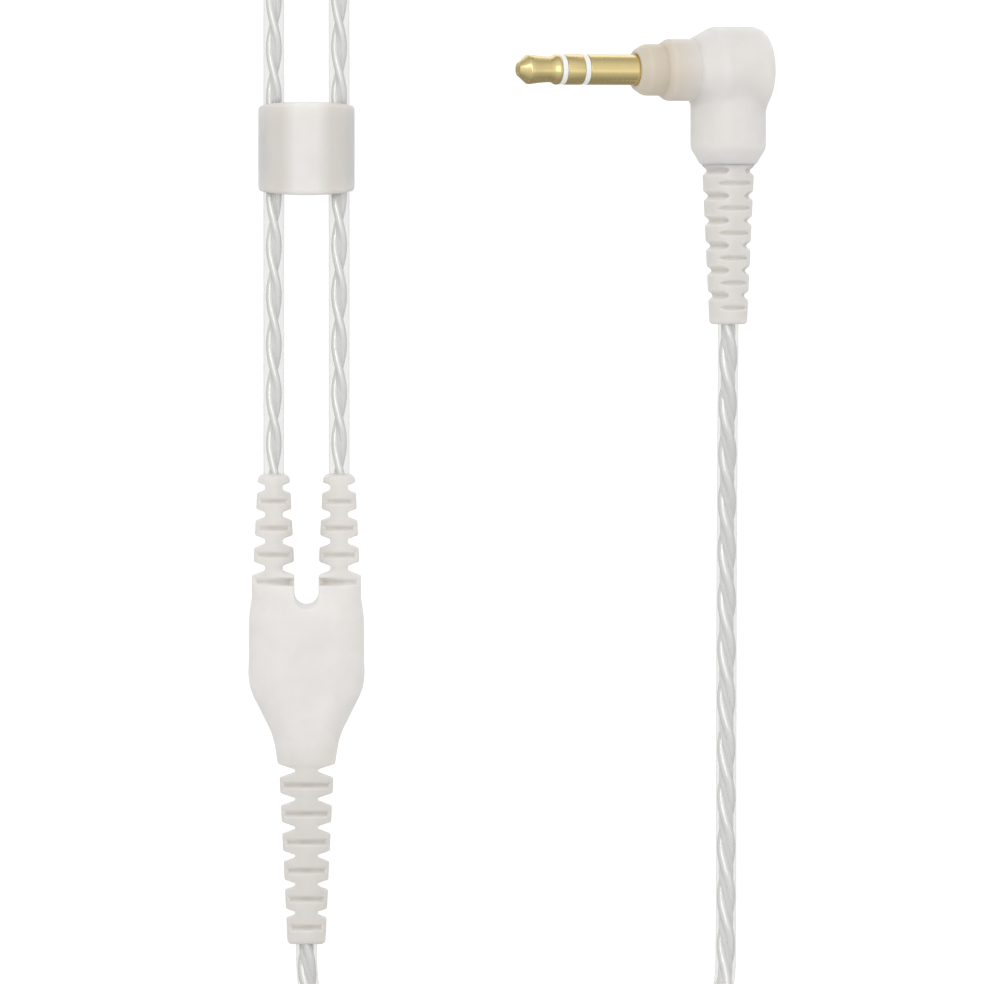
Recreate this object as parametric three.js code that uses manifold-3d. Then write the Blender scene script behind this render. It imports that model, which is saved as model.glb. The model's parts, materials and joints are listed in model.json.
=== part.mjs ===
// In-ear monitors with a clear detachable cable, laid flat as on a table.
// Millimetres, +Z up. The origin is on the surface, under the middle of the Y splitter:
// +Y runs from the splitter through the chin slider towards the earpieces.
import * as THREE from 'three';
import { mergeVertices } from 'three/addons/utils/BufferGeometryUtils.js';
import Module from 'manifold-3d';

const wasm = await Module();
wasm.setup();

// ---------------------------------------------------------------- driving dimensions

const CORD_R = 1.2; // clear jacket over a twisted core
const CORD_SIDES = 8;
const BORE_R = 1.4; // a passage for the cord
const BORE_SIDES = 8;
const LEG_SIDES = 12;
const SMALL_SIDES = 14; // of the small turned pieces
const GAP = 0.3; // between pieces that meet

const AXIS_Z = 3.3; // height of the splitter's and the slider's middle
const LEG_X = 3.75; // the two upper cords are this far from the middle

const SPLITTER = {
  top: 27.0,
  bottom: -27.0,
  legRoot: 15.6,
  lowerRoot: -6.6,
  crotchR: 1.43,
  crotchY: 13.46,
  cavity: { x: 5.1, y0: 1.9, y1: 10.2, z: 1.8 },
  wireR: 0.45,
  wireChannelR: 0.65,
};

const SLIDER = { y0: 58.9, y1: 69.8, halfWidth: 5.55, halfDepth: 3.3, crown: 0.42, edge: 0.5 };

const PLUG = {
  x: 48.4,
  y: 73.3,
  z: 5.95,
  tilt: THREE.MathUtils.degToRad(22),
  pinR: 1.75,
  shoulder: 11.55, // the nose's face, from the cord's axis
  tipEnd: 26.2,
  bootTop: -10.9,
  bootEnd: -29.15,
  boreR: 2.5,
  spigotR: 2.4,
  spigotTop: -7.6,
  pinSides: 16,
};

const MAIN_COIL = { x: 24, y: -52, radii: [12.0, 14.4, 16.8], layers: 4 };
const LEFT_COIL = { x: 7.8, y: 109, radii: [10.8, 13.2], layers: 2 };
const RIGHT_COIL = { x: 38.4, y: 109, radii: [10.8, 13.2], layers: 2 };
const COIL_BASE = 0.7; // the tie's strap passes under the turns
const COIL_SIDES = 24;
const TIE = { wall: 0.5, width: 4, slack: 0.2 };

const GUIDE_R = 1.5; // sheath of the ear guide
const HOOK_R = 9.5;
const EAR_AXIS_Z = 5.4; // height of the connector's axis, and of the shells' parting plane
const EAR_Y = 151.5; // the end of the shells, where the connector enters
const CONNECTOR_END = 8.8; // length of the connector, from the shell's end
const EAR_LEFT_X = 2.0;
const EAR_RIGHT_X = 44.2;
const NOZZLE_TILT = THREE.MathUtils.degToRad(20);

// ---------------------------------------------------------------- materials

function finish(color, roughness, metalness, opacity = 1) {
  return new THREE.MeshStandardMaterial({
    color, roughness, metalness, opacity, transparent: opacity < 1,
  });
}

const MILKY = () => finish(0xe2dfda, 0.45, 0, 0.9);
const CLEAR = () => finish(0xe9e9e6, 0.12, 0, 0.4);
const GOLD = () => finish(0xc79a3c, 0.25, 1);
const STEEL = () => finish(0xc9cbce, 0.3, 1);
const WHITE = () => finish(0xf2f2ee, 0.4, 0);
const SILICONE = () => finish(0xd9dadb, 0.6, 0);
const COPPER = () => finish(0xd0d0cd, 0.3, 1);
const STRAP = () => finish(0xf0efec, 0.7, 0);

// ---------------------------------------------------------------- solids

// A closed mesh with shared vertices, no empty triangles and its faces out.
function weld(geometry) {
  const bare = new THREE.BufferGeometry();
  bare.setAttribute('position', geometry.getAttribute('position').clone());
  if (geometry.index) bare.setIndex(geometry.index.clone());
  const merged = mergeVertices(bare, 1e-4);
  const at = merged.getAttribute('position');
  const a = new THREE.Vector3();
  const b = new THREE.Vector3();
  const c = new THREE.Vector3();
  const kept = [];
  let volume = 0;
  for (let i = 0; i < merged.index.count; i += 3) {
    const [i0, i1, i2] = [0, 1, 2].map((k) => merged.index.getX(i + k));
    if (i0 === i1 || i1 === i2 || i2 === i0) continue;
    kept.push(i0, i1, i2);
    a.fromBufferAttribute(at, i0);
    b.fromBufferAttribute(at, i1);
    c.fromBufferAttribute(at, i2);
    volume += a.dot(b.cross(c));
  }
  if (volume < 0) kept.reverse();
  merged.setIndex(kept);
  return merged;
}

function solid(geometry) {
  const closed = weld(geometry);
  return new wasm.Manifold(new wasm.Mesh({
    numProp: 3,
    vertProperties: closed.getAttribute('position').array,
    triVerts: new Uint32Array(closed.index.array),
  }));
}

function geometryOf(manifold) {
  const mesh = manifold.getMesh();
  const geometry = new THREE.BufferGeometry();
  geometry.setAttribute('position', new THREE.BufferAttribute(mesh.vertProperties, 3));
  geometry.setIndex(new THREE.BufferAttribute(mesh.triVerts, 1));
  return geometry;
}

// The base solid with some joined to it and others cut from it.
function carve(base, { add = [], cut = [] }) {
  let made = solid(base);
  for (const other of add) made = made.add(solid(other));
  for (const other of cut) made = made.subtract(solid(other));
  return geometryOf(made);
}

// Turns a profile of [radius, y] about the Y axis.
function revolve(profile, sides) {
  return weld(new THREE.LatheGeometry(profile.map(([r, y]) => new THREE.Vector2(r, y)), sides));
}

function rod(radius, y0, y1, sides) {
  return revolve([[0, y0], [radius, y0], [radius, y1], [0, y1]], sides);
}

function tube(inner, outer, y0, y1, sides) {
  return revolve([[inner, y0], [outer, y0], [outer, y1], [inner, y1], [inner, y0]], sides);
}

// Joins rings of points, one after another. The ends are capped, or joined if it is a closed band.
function loft(rings, closedBand = false) {
  const n = rings[0].length;
  const points = rings.flat();
  const faces = [];
  const last = closedBand ? rings.length : rings.length - 1;
  for (let k = 0; k < last; k++) {
    const below = k * n;
    const above = ((k + 1) % rings.length) * n;
    for (let i = 0; i < n; i++) {
      const j = (i + 1) % n;
      faces.push(below + i, below + j, above + j, below + i, above + j, above + i);
    }
  }
  if (!closedBand) {
    for (const [start, flip] of [[0, true], [(rings.length - 1) * n, false]]) {
      const middle = new THREE.Vector3();
      for (let i = 0; i < n; i++) middle.addScaledVector(points[start + i], 1 / n);
      points.push(middle);
      for (let i = 0; i < n; i++) {
        const [p, q] = [start + i, start + ((i + 1) % n)];
        faces.push(points.length - 1, flip ? q : p, flip ? p : q);
      }
    }
  }
  const geometry = new THREE.BufferGeometry().setFromPoints(points);
  geometry.setIndex(faces);
  return weld(geometry);
}

function box(x0, x1, y0, y1, z0, z1) {
  const made = new THREE.BoxGeometry(x1 - x0, y1 - y0, z1 - z0);
  made.translate((x0 + x1) / 2, (y0 + y1) / 2, (z0 + z1) / 2);
  return made;
}

function regular(radius, sides) {
  const shape = new THREE.Shape();
  for (let i = 0; i < sides; i++) {
    const turn = (2 * Math.PI * i) / sides;
    const at = [radius * Math.cos(turn), radius * Math.sin(turn)];
    if (i === 0) shape.moveTo(...at);
    else shape.lineTo(...at);
  }
  shape.closePath();
  return shape;
}

function curveOf(points) {
  return new THREE.CatmullRomCurve3(points.map((p) => new THREE.Vector3(...p)), false, 'centripetal');
}

// A round solid along a curve.
function hose(points, radius, sides, steps) {
  const options = { steps, bevelEnabled: false, extrudePath: curveOf(points) };
  return weld(new THREE.ExtrudeGeometry(regular(radius, sides), options));
}

// ---------------------------------------------------------------- the scene graph

const object = new THREE.Group();

function place(name, geometry, material, parent = object) {
  const mesh = new THREE.Mesh(geometry, material);
  mesh.name = name;
  parent.add(mesh);
  return mesh;
}

// ---------------------------------------------------------------- ribbed strain reliefs

// A wedge-shaped cut across a strain relief, from core outwards, at one side of it.
function notch(core, at, inner, outer, reach = 3.6) {
  const outline = new THREE.Shape([
    new THREE.Vector2(core, at - inner / 2),
    new THREE.Vector2(reach, at - outer / 2),
    new THREE.Vector2(reach, at + outer / 2),
    new THREE.Vector2(core, at + inner / 2),
  ]);
  const made = new THREE.ExtrudeGeometry(outline, { depth: 2 * reach, bevelEnabled: false });
  made.translate(0, 0, -reach);
  return made;
}

// Cuts that alternate between the sides and the faces of a strain relief, so that it bends every way.
function reliefCuts({ core, sides, faces, inner, outer }, x = 0) {
  const cuts = [];
  const pairs = [[sides, 0], [faces, Math.PI / 2]];
  for (const [places, turn] of pairs) {
    for (const at of places) {
      for (const half of [0, Math.PI]) {
        cuts.push(notch(core, at, inner, outer).rotateY(turn + half).translate(x, 0, 0));
      }
    }
  }
  return cuts;
}

function steps(first, pitch, count) {
  return Array.from({ length: count }, (_, i) => first + pitch * i);
}

// ---------------------------------------------------------------- Y splitter

// A section of the splitter across Y: flat back and front, round sides.
function splitterSection(y, halfWidth, halfDepth, flat) {
  const ring = [];
  const cornerSteps = 4;
  for (const [sx, sz, from] of [[1, 1, 0], [-1, 1, 1], [-1, -1, 2], [1, -1, 3]]) {
    for (let i = 0; i <= cornerSteps; i++) {
      const turn = (Math.PI / 2) * (from + i / cornerSteps);
      const x = sx * flat + (halfWidth - flat) * Math.cos(turn);
      const z = sz * 0.05 + (halfDepth - 0.05) * Math.sin(turn);
      ring.push(new THREE.Vector3(x, y, z));
    }
  }
  return ring;
}

function splitterBody() {
  const S = SPLITTER;
  const stations = [
    [S.lowerRoot, 3.2, 3.1, 0.1],
    [-5.33, 3.44, 3.2, 0.2],
    [-3.83, 3.71, 3.26, 0.4],
    [-2.46, 4.14, AXIS_Z, 0.8],
    [-1.08, 4.82, AXIS_Z, 1.3],
    [0.18, 5.44, AXIS_Z, 1.8],
    [1.45, 6.08, AXIS_Z, 2.3],
    [2.48, 6.46, AXIS_Z, 2.6],
    [3.4, 6.62, AXIS_Z, 2.7],
    [9.02, 6.62, AXIS_Z, 2.7],
    [10.63, 6.57, 3.2, 2.7],
    [13.62, 6.17, 2.75, 2.6],
    [S.legRoot, 6.08, 2.4, 2.6],
  ];
  const body = loft(stations.map((s) => splitterSection(...s)));
  const legProfile = [
    [0, 13], [2.32, 13], [2.32, 15.5], [1.8, 26.4], [1.55, S.top], [0, S.top],
  ];
  const lowerProfile = [
    [0, S.bottom], [2.0, S.bottom], [2.2, -26.5], [3.1, -7.5], [3.1, -5.5], [0, -5.5],
  ];
  const legCuts = {
    core: 1.05, inner: 0.7, outer: 1.9, sides: steps(25.41, -3.08, 4), faces: steps(23.83, -3.08, 4),
  };
  const lowerCuts = {
    core: 1.3, inner: 0.75, outer: 1.75, sides: steps(-7.1, -3.265, 6), faces: steps(-8.75, -3.265, 6),
  };
  const crotch = new THREE.Shape();
  crotch.moveTo(S.crotchR, 16.6);
  crotch.lineTo(-S.crotchR, 16.6);
  crotch.absarc(0, S.crotchY, S.crotchR, Math.PI, 2 * Math.PI, false);
  const crotchCut = new THREE.ExtrudeGeometry(crotch, {
    depth: 10, bevelEnabled: false, curveSegments: 8,
  }).translate(0, 0, -5);
  const { x, y0, y1, z } = S.cavity;
  const legs = [-LEG_X, LEG_X];
  return carve(body, {
    add: [
      ...legs.map((at) => revolve(legProfile, LEG_SIDES).translate(at, 0, 0)),
      revolve(lowerProfile, SMALL_SIDES),
    ],
    cut: [
      crotchCut,
      ...legs.flatMap((at) => reliefCuts(legCuts, at)),
      ...reliefCuts(lowerCuts),
      ...legs.map((at) => rod(BORE_R, y1 - 1, S.top + 1, BORE_SIDES).translate(at, 0, 0)),
      rod(BORE_R, S.bottom - 1, y0 + 1, BORE_SIDES),
      box(-x, x, y0, y1, -z, z),
    ],
  });
}

// The route of one pair of conductors, from the main cord's core to an upper cord's.
function forkRoute(side, y0, y1) {
  return [
    [side * 0.6, y0, 0], [side * 0.6, y0 + 1.5, 0], [side * 1.6, 4.9, 0],
    [side * 2.8, 7.2, 0], [side * LEG_X, y1 - 1.3, 0], [side * LEG_X, y1, 0],
  ];
}

function splitterBlock() {
  const { x, y0, y1, z } = SPLITTER.cavity;
  const inset = 0.15;
  const block = box(-x + inset, x - inset, y0 + inset, y1 - inset, -z + inset, z - inset);
  const channels = [-1, 1].map((side) => (
    hose(forkRoute(side, y0 - 0.6, y1 + 0.6), SPLITTER.wireChannelR, 8, 8)
  ));
  return carve(block, { cut: channels });
}

function buildSplitter() {
  const group = new THREE.Group();
  group.position.z = AXIS_Z;
  object.add(group);
  place('splitter_body', splitterBody(), MILKY(), group);
  place('splitter_inner_block', splitterBlock(), WHITE(), group);
  const { y0, y1 } = SPLITTER.cavity;
  for (const [name, side] of [['splitter_wires_left', -1], ['splitter_wires_right', 1]]) {
    place(name, hose(forkRoute(side, y0 - 0.1, y1 + 0.1), SPLITTER.wireR, 6, 8), COPPER(), group);
  }
}

// ---------------------------------------------------------------- chin slider

function buildSlider() {
  const S = SLIDER;
  const sides = 28;
  // One ring round the slider: its end edges bulge towards the middle.
  const ring = (scale, y, bulge) => Array.from({ length: sides }, (_, i) => {
    const turn = (2 * Math.PI * i) / sides;
    const x = S.halfWidth * scale * Math.cos(turn);
    const z = S.halfDepth * scale * Math.sin(turn);
    return new THREE.Vector3(x, y - bulge * S.crown * Math.cos(turn) ** 2, z);
  });
  const band = loft([
    ring(0.93, S.y0, -1), ring(1, S.y0 + S.edge, -1), ring(1, S.y1 - S.edge, 1), ring(0.93, S.y1, 1),
  ]);
  const bores = [-LEG_X, LEG_X].map((x) => (
    rod(BORE_R, S.y0 - 1, S.y1 + 1, BORE_SIDES).translate(x, 0, 0)
  ));
  place('slider', carve(band, { cut: bores }).translate(0, 0, AXIS_Z), MILKY());
}

// ---------------------------------------------------------------- right-angle plug

// The elbow housing. Its pin barrel lies along Y here and its cord barrel along -X.
function plugHousing() {
  const P = PLUG;
  const barrel = revolve([
    [0, -4.4], [3.3, -4.4], [4.3, -4.0], [4.85, -3.3], [5.0, -2.6], [5.0, 1.96], [3.76, 4.3],
    [3.55, 4.4], [3.55, 7.6], [3.05, 8.35], [2.96, 8.4], [2.96, 10.45], [2.3, P.shoulder],
    [0, P.shoulder],
  ], 20);
  const cordBarrel = revolve([
    [0, 0], [4.33, 0], [4.33, -8.94], [3.2, -10.85], [0, -10.85],
  ].reverse(), 20).rotateZ(-Math.PI / 2);
  const chamber = [
    rod(1.85, 9, 12, P.pinSides),
    rod(2.42, 1, 9.75, P.pinSides),
    rod(3.0, -2.4, 1.3, P.pinSides),
    rod(P.boreR, 0, 12, LEG_SIDES).rotateZ(Math.PI / 2),
  ];
  return carve(barrel, { add: [cordBarrel], cut: chamber });
}

// A solder lug: a washer round one of the contact tubes with a tab towards the cord. The tab's middle
// may lie to one side of the washer's.
function lug(hole, rim, at, tabWidth, middle) {
  const outline = new THREE.Shape();
  outline.absarc(0, 0, rim, 0, 2 * Math.PI, false);
  outline.holes.push(new THREE.Path().absarc(0, 0, hole, 0, 2 * Math.PI, true));
  const options = { depth: 0.3, bevelEnabled: false, curveSegments: 6 };
  const washer = new THREE.ExtrudeGeometry(outline, options);
  washer.rotateX(-Math.PI / 2).translate(0, at, 0);
  const tab = box(-4.8, -rim + 0.25, at, at + 0.3, middle - tabWidth / 2, middle + tabWidth / 2);
  return carve(washer, { add: [tab] });
}

function buildPin(group) {
  const P = PLUG;
  const n = P.pinSides;
  const pin = new THREE.Group();
  pin.rotation.z = Math.PI / 2;
  group.add(pin);
  place('plug_housing', plugHousing(), MILKY(), pin);
  // The tip is one turned piece with its rod, which runs back through the tubes of the other contacts.
  place('plug_tip', revolve([
    [0, -1.2], [0.55, -1.2], [0.55, 21.08], [1.7, 21.08], [1.75, 21.2], [1.75, 21.45], [1.5, 21.9],
    [1.47, 22.3], [1.55, 23.4], [1.69, 24.5], [1.69, 24.9], [0.75, P.tipEnd - 0.15], [0, P.tipEnd],
  ], n), GOLD(), pin);
  place('plug_front_insulator', revolve([
    [0.6, -0.3], [0.85, -0.3], [0.85, 20.41], [1.7, 20.41], [1.7, 21.04], [0.6, 21.04], [0.6, -0.3],
  ], n), WHITE(), pin);
  place('plug_ring_contact', revolve([
    [0.9, 0.15], [1.12, 0.15], [1.12, 18.26], [1.75, 18.26], [1.75, 20.37], [0.9, 20.37], [0.9, 0.15],
  ], n), GOLD(), pin);
  place('plug_rear_insulator', revolve([
    [1.17, 0.8], [1.36, 0.8], [1.36, 17.58], [1.7, 17.58], [1.7, 18.22], [1.17, 18.22], [1.17, 0.8],
  ], n), WHITE(), pin);
  place('plug_sleeve', revolve([
    [1.42, 1.7], [2.32, 1.7], [2.32, 9.6], [P.pinR, 9.7], [P.pinR, 17.54], [1.42, 17.54], [1.42, 1.7],
  ], n), GOLD(), pin);
  place('plug_tip_lug', lug(0.62, 1.3, -0.9, 0.9, 0), COPPER(), pin);
  place('plug_ring_lug', lug(1.18, 1.75, 0.2, 0.9, 1.2), COPPER(), pin);
  place('plug_ground_lug', lug(1.42, 2.1, 1.1, 0.9, -1.2), COPPER(), pin);
}

function plugBoot() {
  const P = PLUG;
  const taper = (y) => 3.0 - (0.84 * (P.bootTop - y)) / (P.bootTop - P.bootEnd);
  const outline = [
    [0, P.bootEnd], [2.0, P.bootEnd], [taper(P.bootEnd), P.bootEnd + 0.4],
    [taper(P.bootTop), P.bootTop], [P.spigotR, P.bootTop],
    [P.spigotR, P.spigotTop], [0, P.spigotTop],
  ];
  const cuts = {
    core: 1.2, inner: 0.7, outer: 1.7, sides: steps(-11.55, -2.86, 6), faces: steps(-12.98, -2.86, 6),
  };
  return carve(revolve(outline, SMALL_SIDES), {
    cut: [...reliefCuts(cuts), rod(BORE_R, P.bootEnd - 1, P.spigotTop + 1, BORE_SIDES)],
  });
}

function buildPlug() {
  const P = PLUG;
  const group = new THREE.Group();
  group.position.set(P.x, P.y, P.z);
  group.rotation.y = P.tilt;
  object.add(group);
  buildPin(group);
  place('plug_boot', plugBoot(), MILKY(), group);
  // Three conductors climb from the cord's end to the lugs.
  const wires = [
    ['plug_tip_wire', 0.75, 0.2],
    ['plug_ring_wire', -0.35, 1.0],
    ['plug_ground_wire', -1.25, -1.0],
  ];
  for (const [name, x, z] of wires) {
    const route = [[x * 0.4, -7.3, z * 0.5], [x * 0.6, -6.6, z * 0.7], [x, -5.7, z], [x, -5.1, z]];
    place(name, hose(route, 0.22, 6, 4), COPPER(), group);
  }
}

// ---------------------------------------------------------------- cords and coils

// Routes of the stretches that aren't coiled. Each coil takes up the rest of its cord.
const ROUTES = {
  cord_left: [
    [-3.75, 10.6, 3.3], [-3.75, 27, 3.3], [-3.75, 50, 3.3], [-3.75, 70, 3.3], [-3.75, 83, 3.3],
    [-3.75, 84.8, 3.25], [-3.1, 88.5, 2.8], [-1.2, 91.8, 2.2], [1.4, 94.1, 1.9],
  ],
  cord_right: [
    [3.75, 10.6, 3.3], [3.75, 27, 3.3], [3.75, 50, 3.3], [3.75, 72, 3.3], [3.75, 83, 3.3],
    [3.8, 84.6, 3.2], [4.6, 87, 2.6], [6.8, 89.4, 1.9], [10.5, 90.7, 1.4], [14.5, 91.0, 1.25],
    [18.5, 91.6, 1.35], [22.2, 93.6, 1.6], [24.4, 97, 1.9], [25.2, 100.6, 1.9],
  ],
  cord_left_end: [
    [21.0, 118.2, 3.4], [21.0, 120.5, 2.6], [21.0, 123.5, 1.9], [21.0, 127.7, 1.55],
  ],
  cord_right_end: [
    [25.2, 118.2, 3.4], [25.2, 120.5, 2.6], [25.2, 123.5, 1.9], [25.2, 127.7, 1.55],
  ],
  cord_main_start: [
    [0, 1.7, 3.3], [0, -15, 3.3], [0, -27, 3.3], [0.15, -31, 2.9], [0.9, -35, 1.9], [2.6, -38.6, 1.6],
    [4.9, -41.6, 1.9], [5.7, -43, 1.9],
  ],
  cord_main_end: [
    [42.35, -43, 8.2], [43.6, -40.5, 6.6], [45.5, -37.2, 4.3], [47.3, -34.1, 2.6], [48.02, -30.8, 1.6],
    [48.15, -26, 1.25], [48.2, -5, 1.25], [48.23, 10, 1.5], [48.28, 22, 2.7], [48.33, 33, 4.7],
    [48.4, 40, 5.7], [48.4, 44, 5.95], [48.4, 55, 5.95], [48.4, 65.3, 5.95],
  ],
};

const CORD_STEPS = {
  cord_left: 14, cord_right: 17, cord_left_end: 2, cord_right_end: 2, cord_main_start: 8, cord_main_end: 18,
};

// The outer shape of a round coil: a ring whose section holds its turns.
function coilRing({ x, y, radii, layers }) {
  const inner = radii[0] - CORD_R;
  const outer = radii[radii.length - 1] + CORD_R;
  const top = COIL_BASE + 2 * CORD_R * layers;
  const ease = 0.8;
  const profile = [
    [inner, COIL_BASE + ease], [inner + ease, COIL_BASE], [outer - ease, COIL_BASE],
    [outer, COIL_BASE + ease], [outer, top - ease], [outer - ease, top], [inner + ease, top],
    [inner, top - ease], [inner, COIL_BASE + ease],
  ];
  return revolve(profile, COIL_SIDES).rotateX(Math.PI / 2).translate(x, y, 0);
}

// A strap round the bundle of turns, at one place on the coil.
function coilTie({ x, y, radii, layers }, turn) {
  const sag = 0.25;
  const inner = radii[0] - CORD_R - sag - TIE.slack;
  const outer = radii[radii.length - 1] + CORD_R + TIE.slack;
  const low = COIL_BASE - 0.15;
  const high = COIL_BASE + 2 * CORD_R * layers + TIE.slack;
  const [left, right, bottom, top] = [inner - TIE.wall, outer + TIE.wall, low - TIE.wall, high + TIE.wall];
  const strap = new THREE.Shape([
    new THREE.Vector2(left, bottom), new THREE.Vector2(right, bottom),
    new THREE.Vector2(right, top), new THREE.Vector2(left, top),
  ]);
  strap.holes.push(new THREE.Path([
    new THREE.Vector2(inner, low), new THREE.Vector2(inner, high),
    new THREE.Vector2(outer, high), new THREE.Vector2(outer, low),
  ]));
  const made = new THREE.ExtrudeGeometry(strap, { depth: TIE.width, bevelEnabled: false });
  made.translate(0, 0, -TIE.width / 2).rotateX(Math.PI / 2).rotateZ(turn).translate(x, y, 0);
  return weld(made);
}

function buildCords() {
  for (const [name, route] of Object.entries(ROUTES)) {
    place(name, hose(route, CORD_R, CORD_SIDES, CORD_STEPS[name]), CLEAR());
  }
  const coils = [
    ['main', MAIN_COIL, -Math.PI / 2], ['left', LEFT_COIL, Math.PI / 2], ['right', RIGHT_COIL, Math.PI / 2],
  ];
  for (const [name, coil, turn] of coils) {
    place('coil_' + name, coilRing(coil), CLEAR());
    place('coil_tie_' + name, coilTie(coil, turn), STRAP());
  }
}

// ---------------------------------------------------------------- earpieces

// The outline of a left shell seen from above: the connector enters at the origin, from +Y.
const SHELL_OUTLINE = [
  [-3.2, -0.1], [0, 0], [3.2, -0.1], [6.6, -1.9], [8.0, -6], [7.9, -11], [6.2, -16], [2.6, -19.6],
  [-2.0, -20.2], [-5.6, -17.4], [-6.6, -12.6], [-6.4, -7.4], [-5.9, -2.6],
];
const SHELL_SIDES = 20;
const SHELL_MIDDLE = new THREE.Vector2(0.7, -10.2);
const NOZZLE_ROOT = new THREE.Vector3(0.8, -12.4, 5.6);

function shellOutline() {
  const points = SHELL_OUTLINE.map(([x, y]) => new THREE.Vector3(x, y, 0));
  const curve = new THREE.CatmullRomCurve3(points, true, 'centripetal');
  return curve.getSpacedPoints(SHELL_SIDES).slice(0, SHELL_SIDES);
}

// The outline drawn in by a scale about the shell's middle, at one height.
function shellRing(outline, scale, z) {
  return outline.map((p) => new THREE.Vector3(
    SHELL_MIDDLE.x + (p.x - SHELL_MIDDLE.x) * scale, SHELL_MIDDLE.y + (p.y - SHELL_MIDDLE.y) * scale, z,
  ));
}

// A round ring about the nozzle's axis, its points in step with the outline's.
function nozzleRing(outline, radius, along) {
  const tip = new THREE.Vector3(0, -Math.sin(NOZZLE_TILT), Math.cos(NOZZLE_TILT));
  const up = new THREE.Vector3(0, Math.cos(NOZZLE_TILT), Math.sin(NOZZLE_TILT));
  return outline.map((p) => {
    const turn = Math.atan2(p.y - SHELL_MIDDLE.y, p.x - SHELL_MIDDLE.x);
    return NOZZLE_ROOT.clone()
      .addScaledVector(tip, along)
      .addScaledVector(up, radius * Math.sin(turn))
      .add(new THREE.Vector3(radius * Math.cos(turn), 0, 0));
  });
}

function between(a, b, share) {
  return a.map((p, i) => p.clone().lerp(b[i], share));
}

const SOCKET_BORE_R = 2.75;

function socketCut() {
  return rod(SOCKET_BORE_R, -6.2, 3, LEG_SIDES);
}

// The faceplate half of the shell, a shallow cup that opens upwards.
function outerShell(outline) {
  const cup = loft([
    shellRing(outline, 0.74, -EAR_AXIS_Z), shellRing(outline, 0.9, -4.9), shellRing(outline, 0.98, -3.5),
    shellRing(outline, 1, -1.8), shellRing(outline, 1, -0.1), shellRing(outline, 0.88, -0.1),
    shellRing(outline, 0.87, -2.6), shellRing(outline, 0.78, -4.0), shellRing(outline, 0.6, -4.4),
  ]);
  return carve(cup, { cut: [socketCut()] });
}

// The ear side of the shell, which narrows to the nozzle's seat and is open through it.
function innerShell(outline) {
  const seat = nozzleRing(outline, 4.1, 0);
  const throat = nozzleRing(outline, 2.95, -0.9);
  const shoulder = shellRing(outline, 0.93, 3.2);
  const insideShoulder = shellRing(outline, 0.8, 2.6);
  const cup = loft([
    shellRing(outline, 1, 0.1), shellRing(outline, 0.99, 1.8), shoulder,
    between(shoulder, seat, 0.5), seat, nozzleRing(outline, 1.9, 0), nozzleRing(outline, 1.9, -0.9),
    throat, between(insideShoulder, throat, 0.5), insideShoulder, shellRing(outline, 0.87, 1.4),
    shellRing(outline, 0.88, 0.1),
  ], true);
  return carve(cup, { cut: [socketCut()] });
}

function buildNozzle(side, parent) {
  const group = new THREE.Group();
  group.position.copy(NOZZLE_ROOT);
  group.rotation.x = Math.PI / 2 + NOZZLE_TILT;
  parent.add(group);
  place('nozzle_' + side, revolve([
    [1.75, GAP], [3.9, GAP], [3.7, 1.1], [2.6, 1.9], [2.45, 6.6], [2.7, 6.9], [2.6, 7.5], [1.75, 7.5],
    [1.75, GAP],
  ], SMALL_SIDES), STEEL(), group);
  place('nozzle_filter_' + side, rod(1.65, 6.9, 7.25, SMALL_SIDES), STEEL(), group);
  // The tip's core grips the nozzle, and its dome folds back round it.
  place('ear_tip_' + side, revolve([
    [2.8, 2.4], [3.4, 2.4], [3.5, 6.2], [4.6, 6.0], [5.3, 3.4], [5.75, 2.2], [6.1, 2.3], [6.0, 4.2],
    [5.4, 6.6], [4.2, 8.3], [3.0, 9.0], [2.2, 8.9], [2.0, 8.3], [2.8, 7.8], [2.8, 2.4],
  ], SMALL_SIDES), SILICONE(), group);
}

function buildEarpiece(side, x, mirror) {
  const group = new THREE.Group();
  group.position.set(x, EAR_Y, EAR_AXIS_Z);
  object.add(group);
  const shell = new THREE.Group();
  shell.scale.x = mirror;
  group.add(shell);
  const outline = shellOutline();
  place('outer_shell_' + side, outerShell(outline), CLEAR(), shell);
  place('inner_shell_' + side, innerShell(outline), CLEAR(), shell);
  buildNozzle(side, shell);
  // The dynamic driver lies flat in the faceplate half.
  const driver = new THREE.Group();
  driver.position.set(0.7, -12.0, 0);
  driver.rotation.x = Math.PI / 2;
  shell.add(driver);
  place('driver_motor_' + side, revolve([
    [0, -4.0], [3.2, -4.0], [3.4, -3.8], [3.4, -2.4], [4.9, -2.2], [4.9, -0.6], [0, -0.6],
  ], 18), STEEL(), driver);
  place('driver_front_' + side, revolve([
    [0, -0.3], [4.9, -0.3], [4.9, 0.5], [4.4, 0.9], [2.4, 1.0], [0, 1.2],
  ], 18), COPPER(), driver);
  // A coaxial snap socket in the shell's end, and the cable's connector that turns in it.
  place('socket_' + side, tube(1.9, 2.6, -5.9, -0.5, SMALL_SIDES), GOLD(), group);
  place('connector_nose_' + side, revolve([
    [0.9, -4.6], [1.5, -4.6], [1.6, -4.4], [1.6, -3.0], [1.3, -3.0], [1.3, -2.5], [1.6, -2.5],
    [1.6, 0.2], [0.9, 0.2], [0.9, -4.6],
  ], SMALL_SIDES), GOLD(), group);
  place('connector_contact_' + side, rod(0.4, -4.9, 0.1, 8), GOLD(), group);
  place('snap_ring_' + side, tube(1.35, 1.75, -2.9, -2.6, SMALL_SIDES), STEEL(), group);
  place('connector_body_' + side, revolve([
    [0, 0.5], [2.2, 0.5], [2.4, 0.7], [2.4, 4.6], [2.2, 4.8], [2.1, 7.6], [1.9, CONNECTOR_END],
    [0, CONNECTOR_END],
  ], SMALL_SIDES), CLEAR(), group);
}

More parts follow.
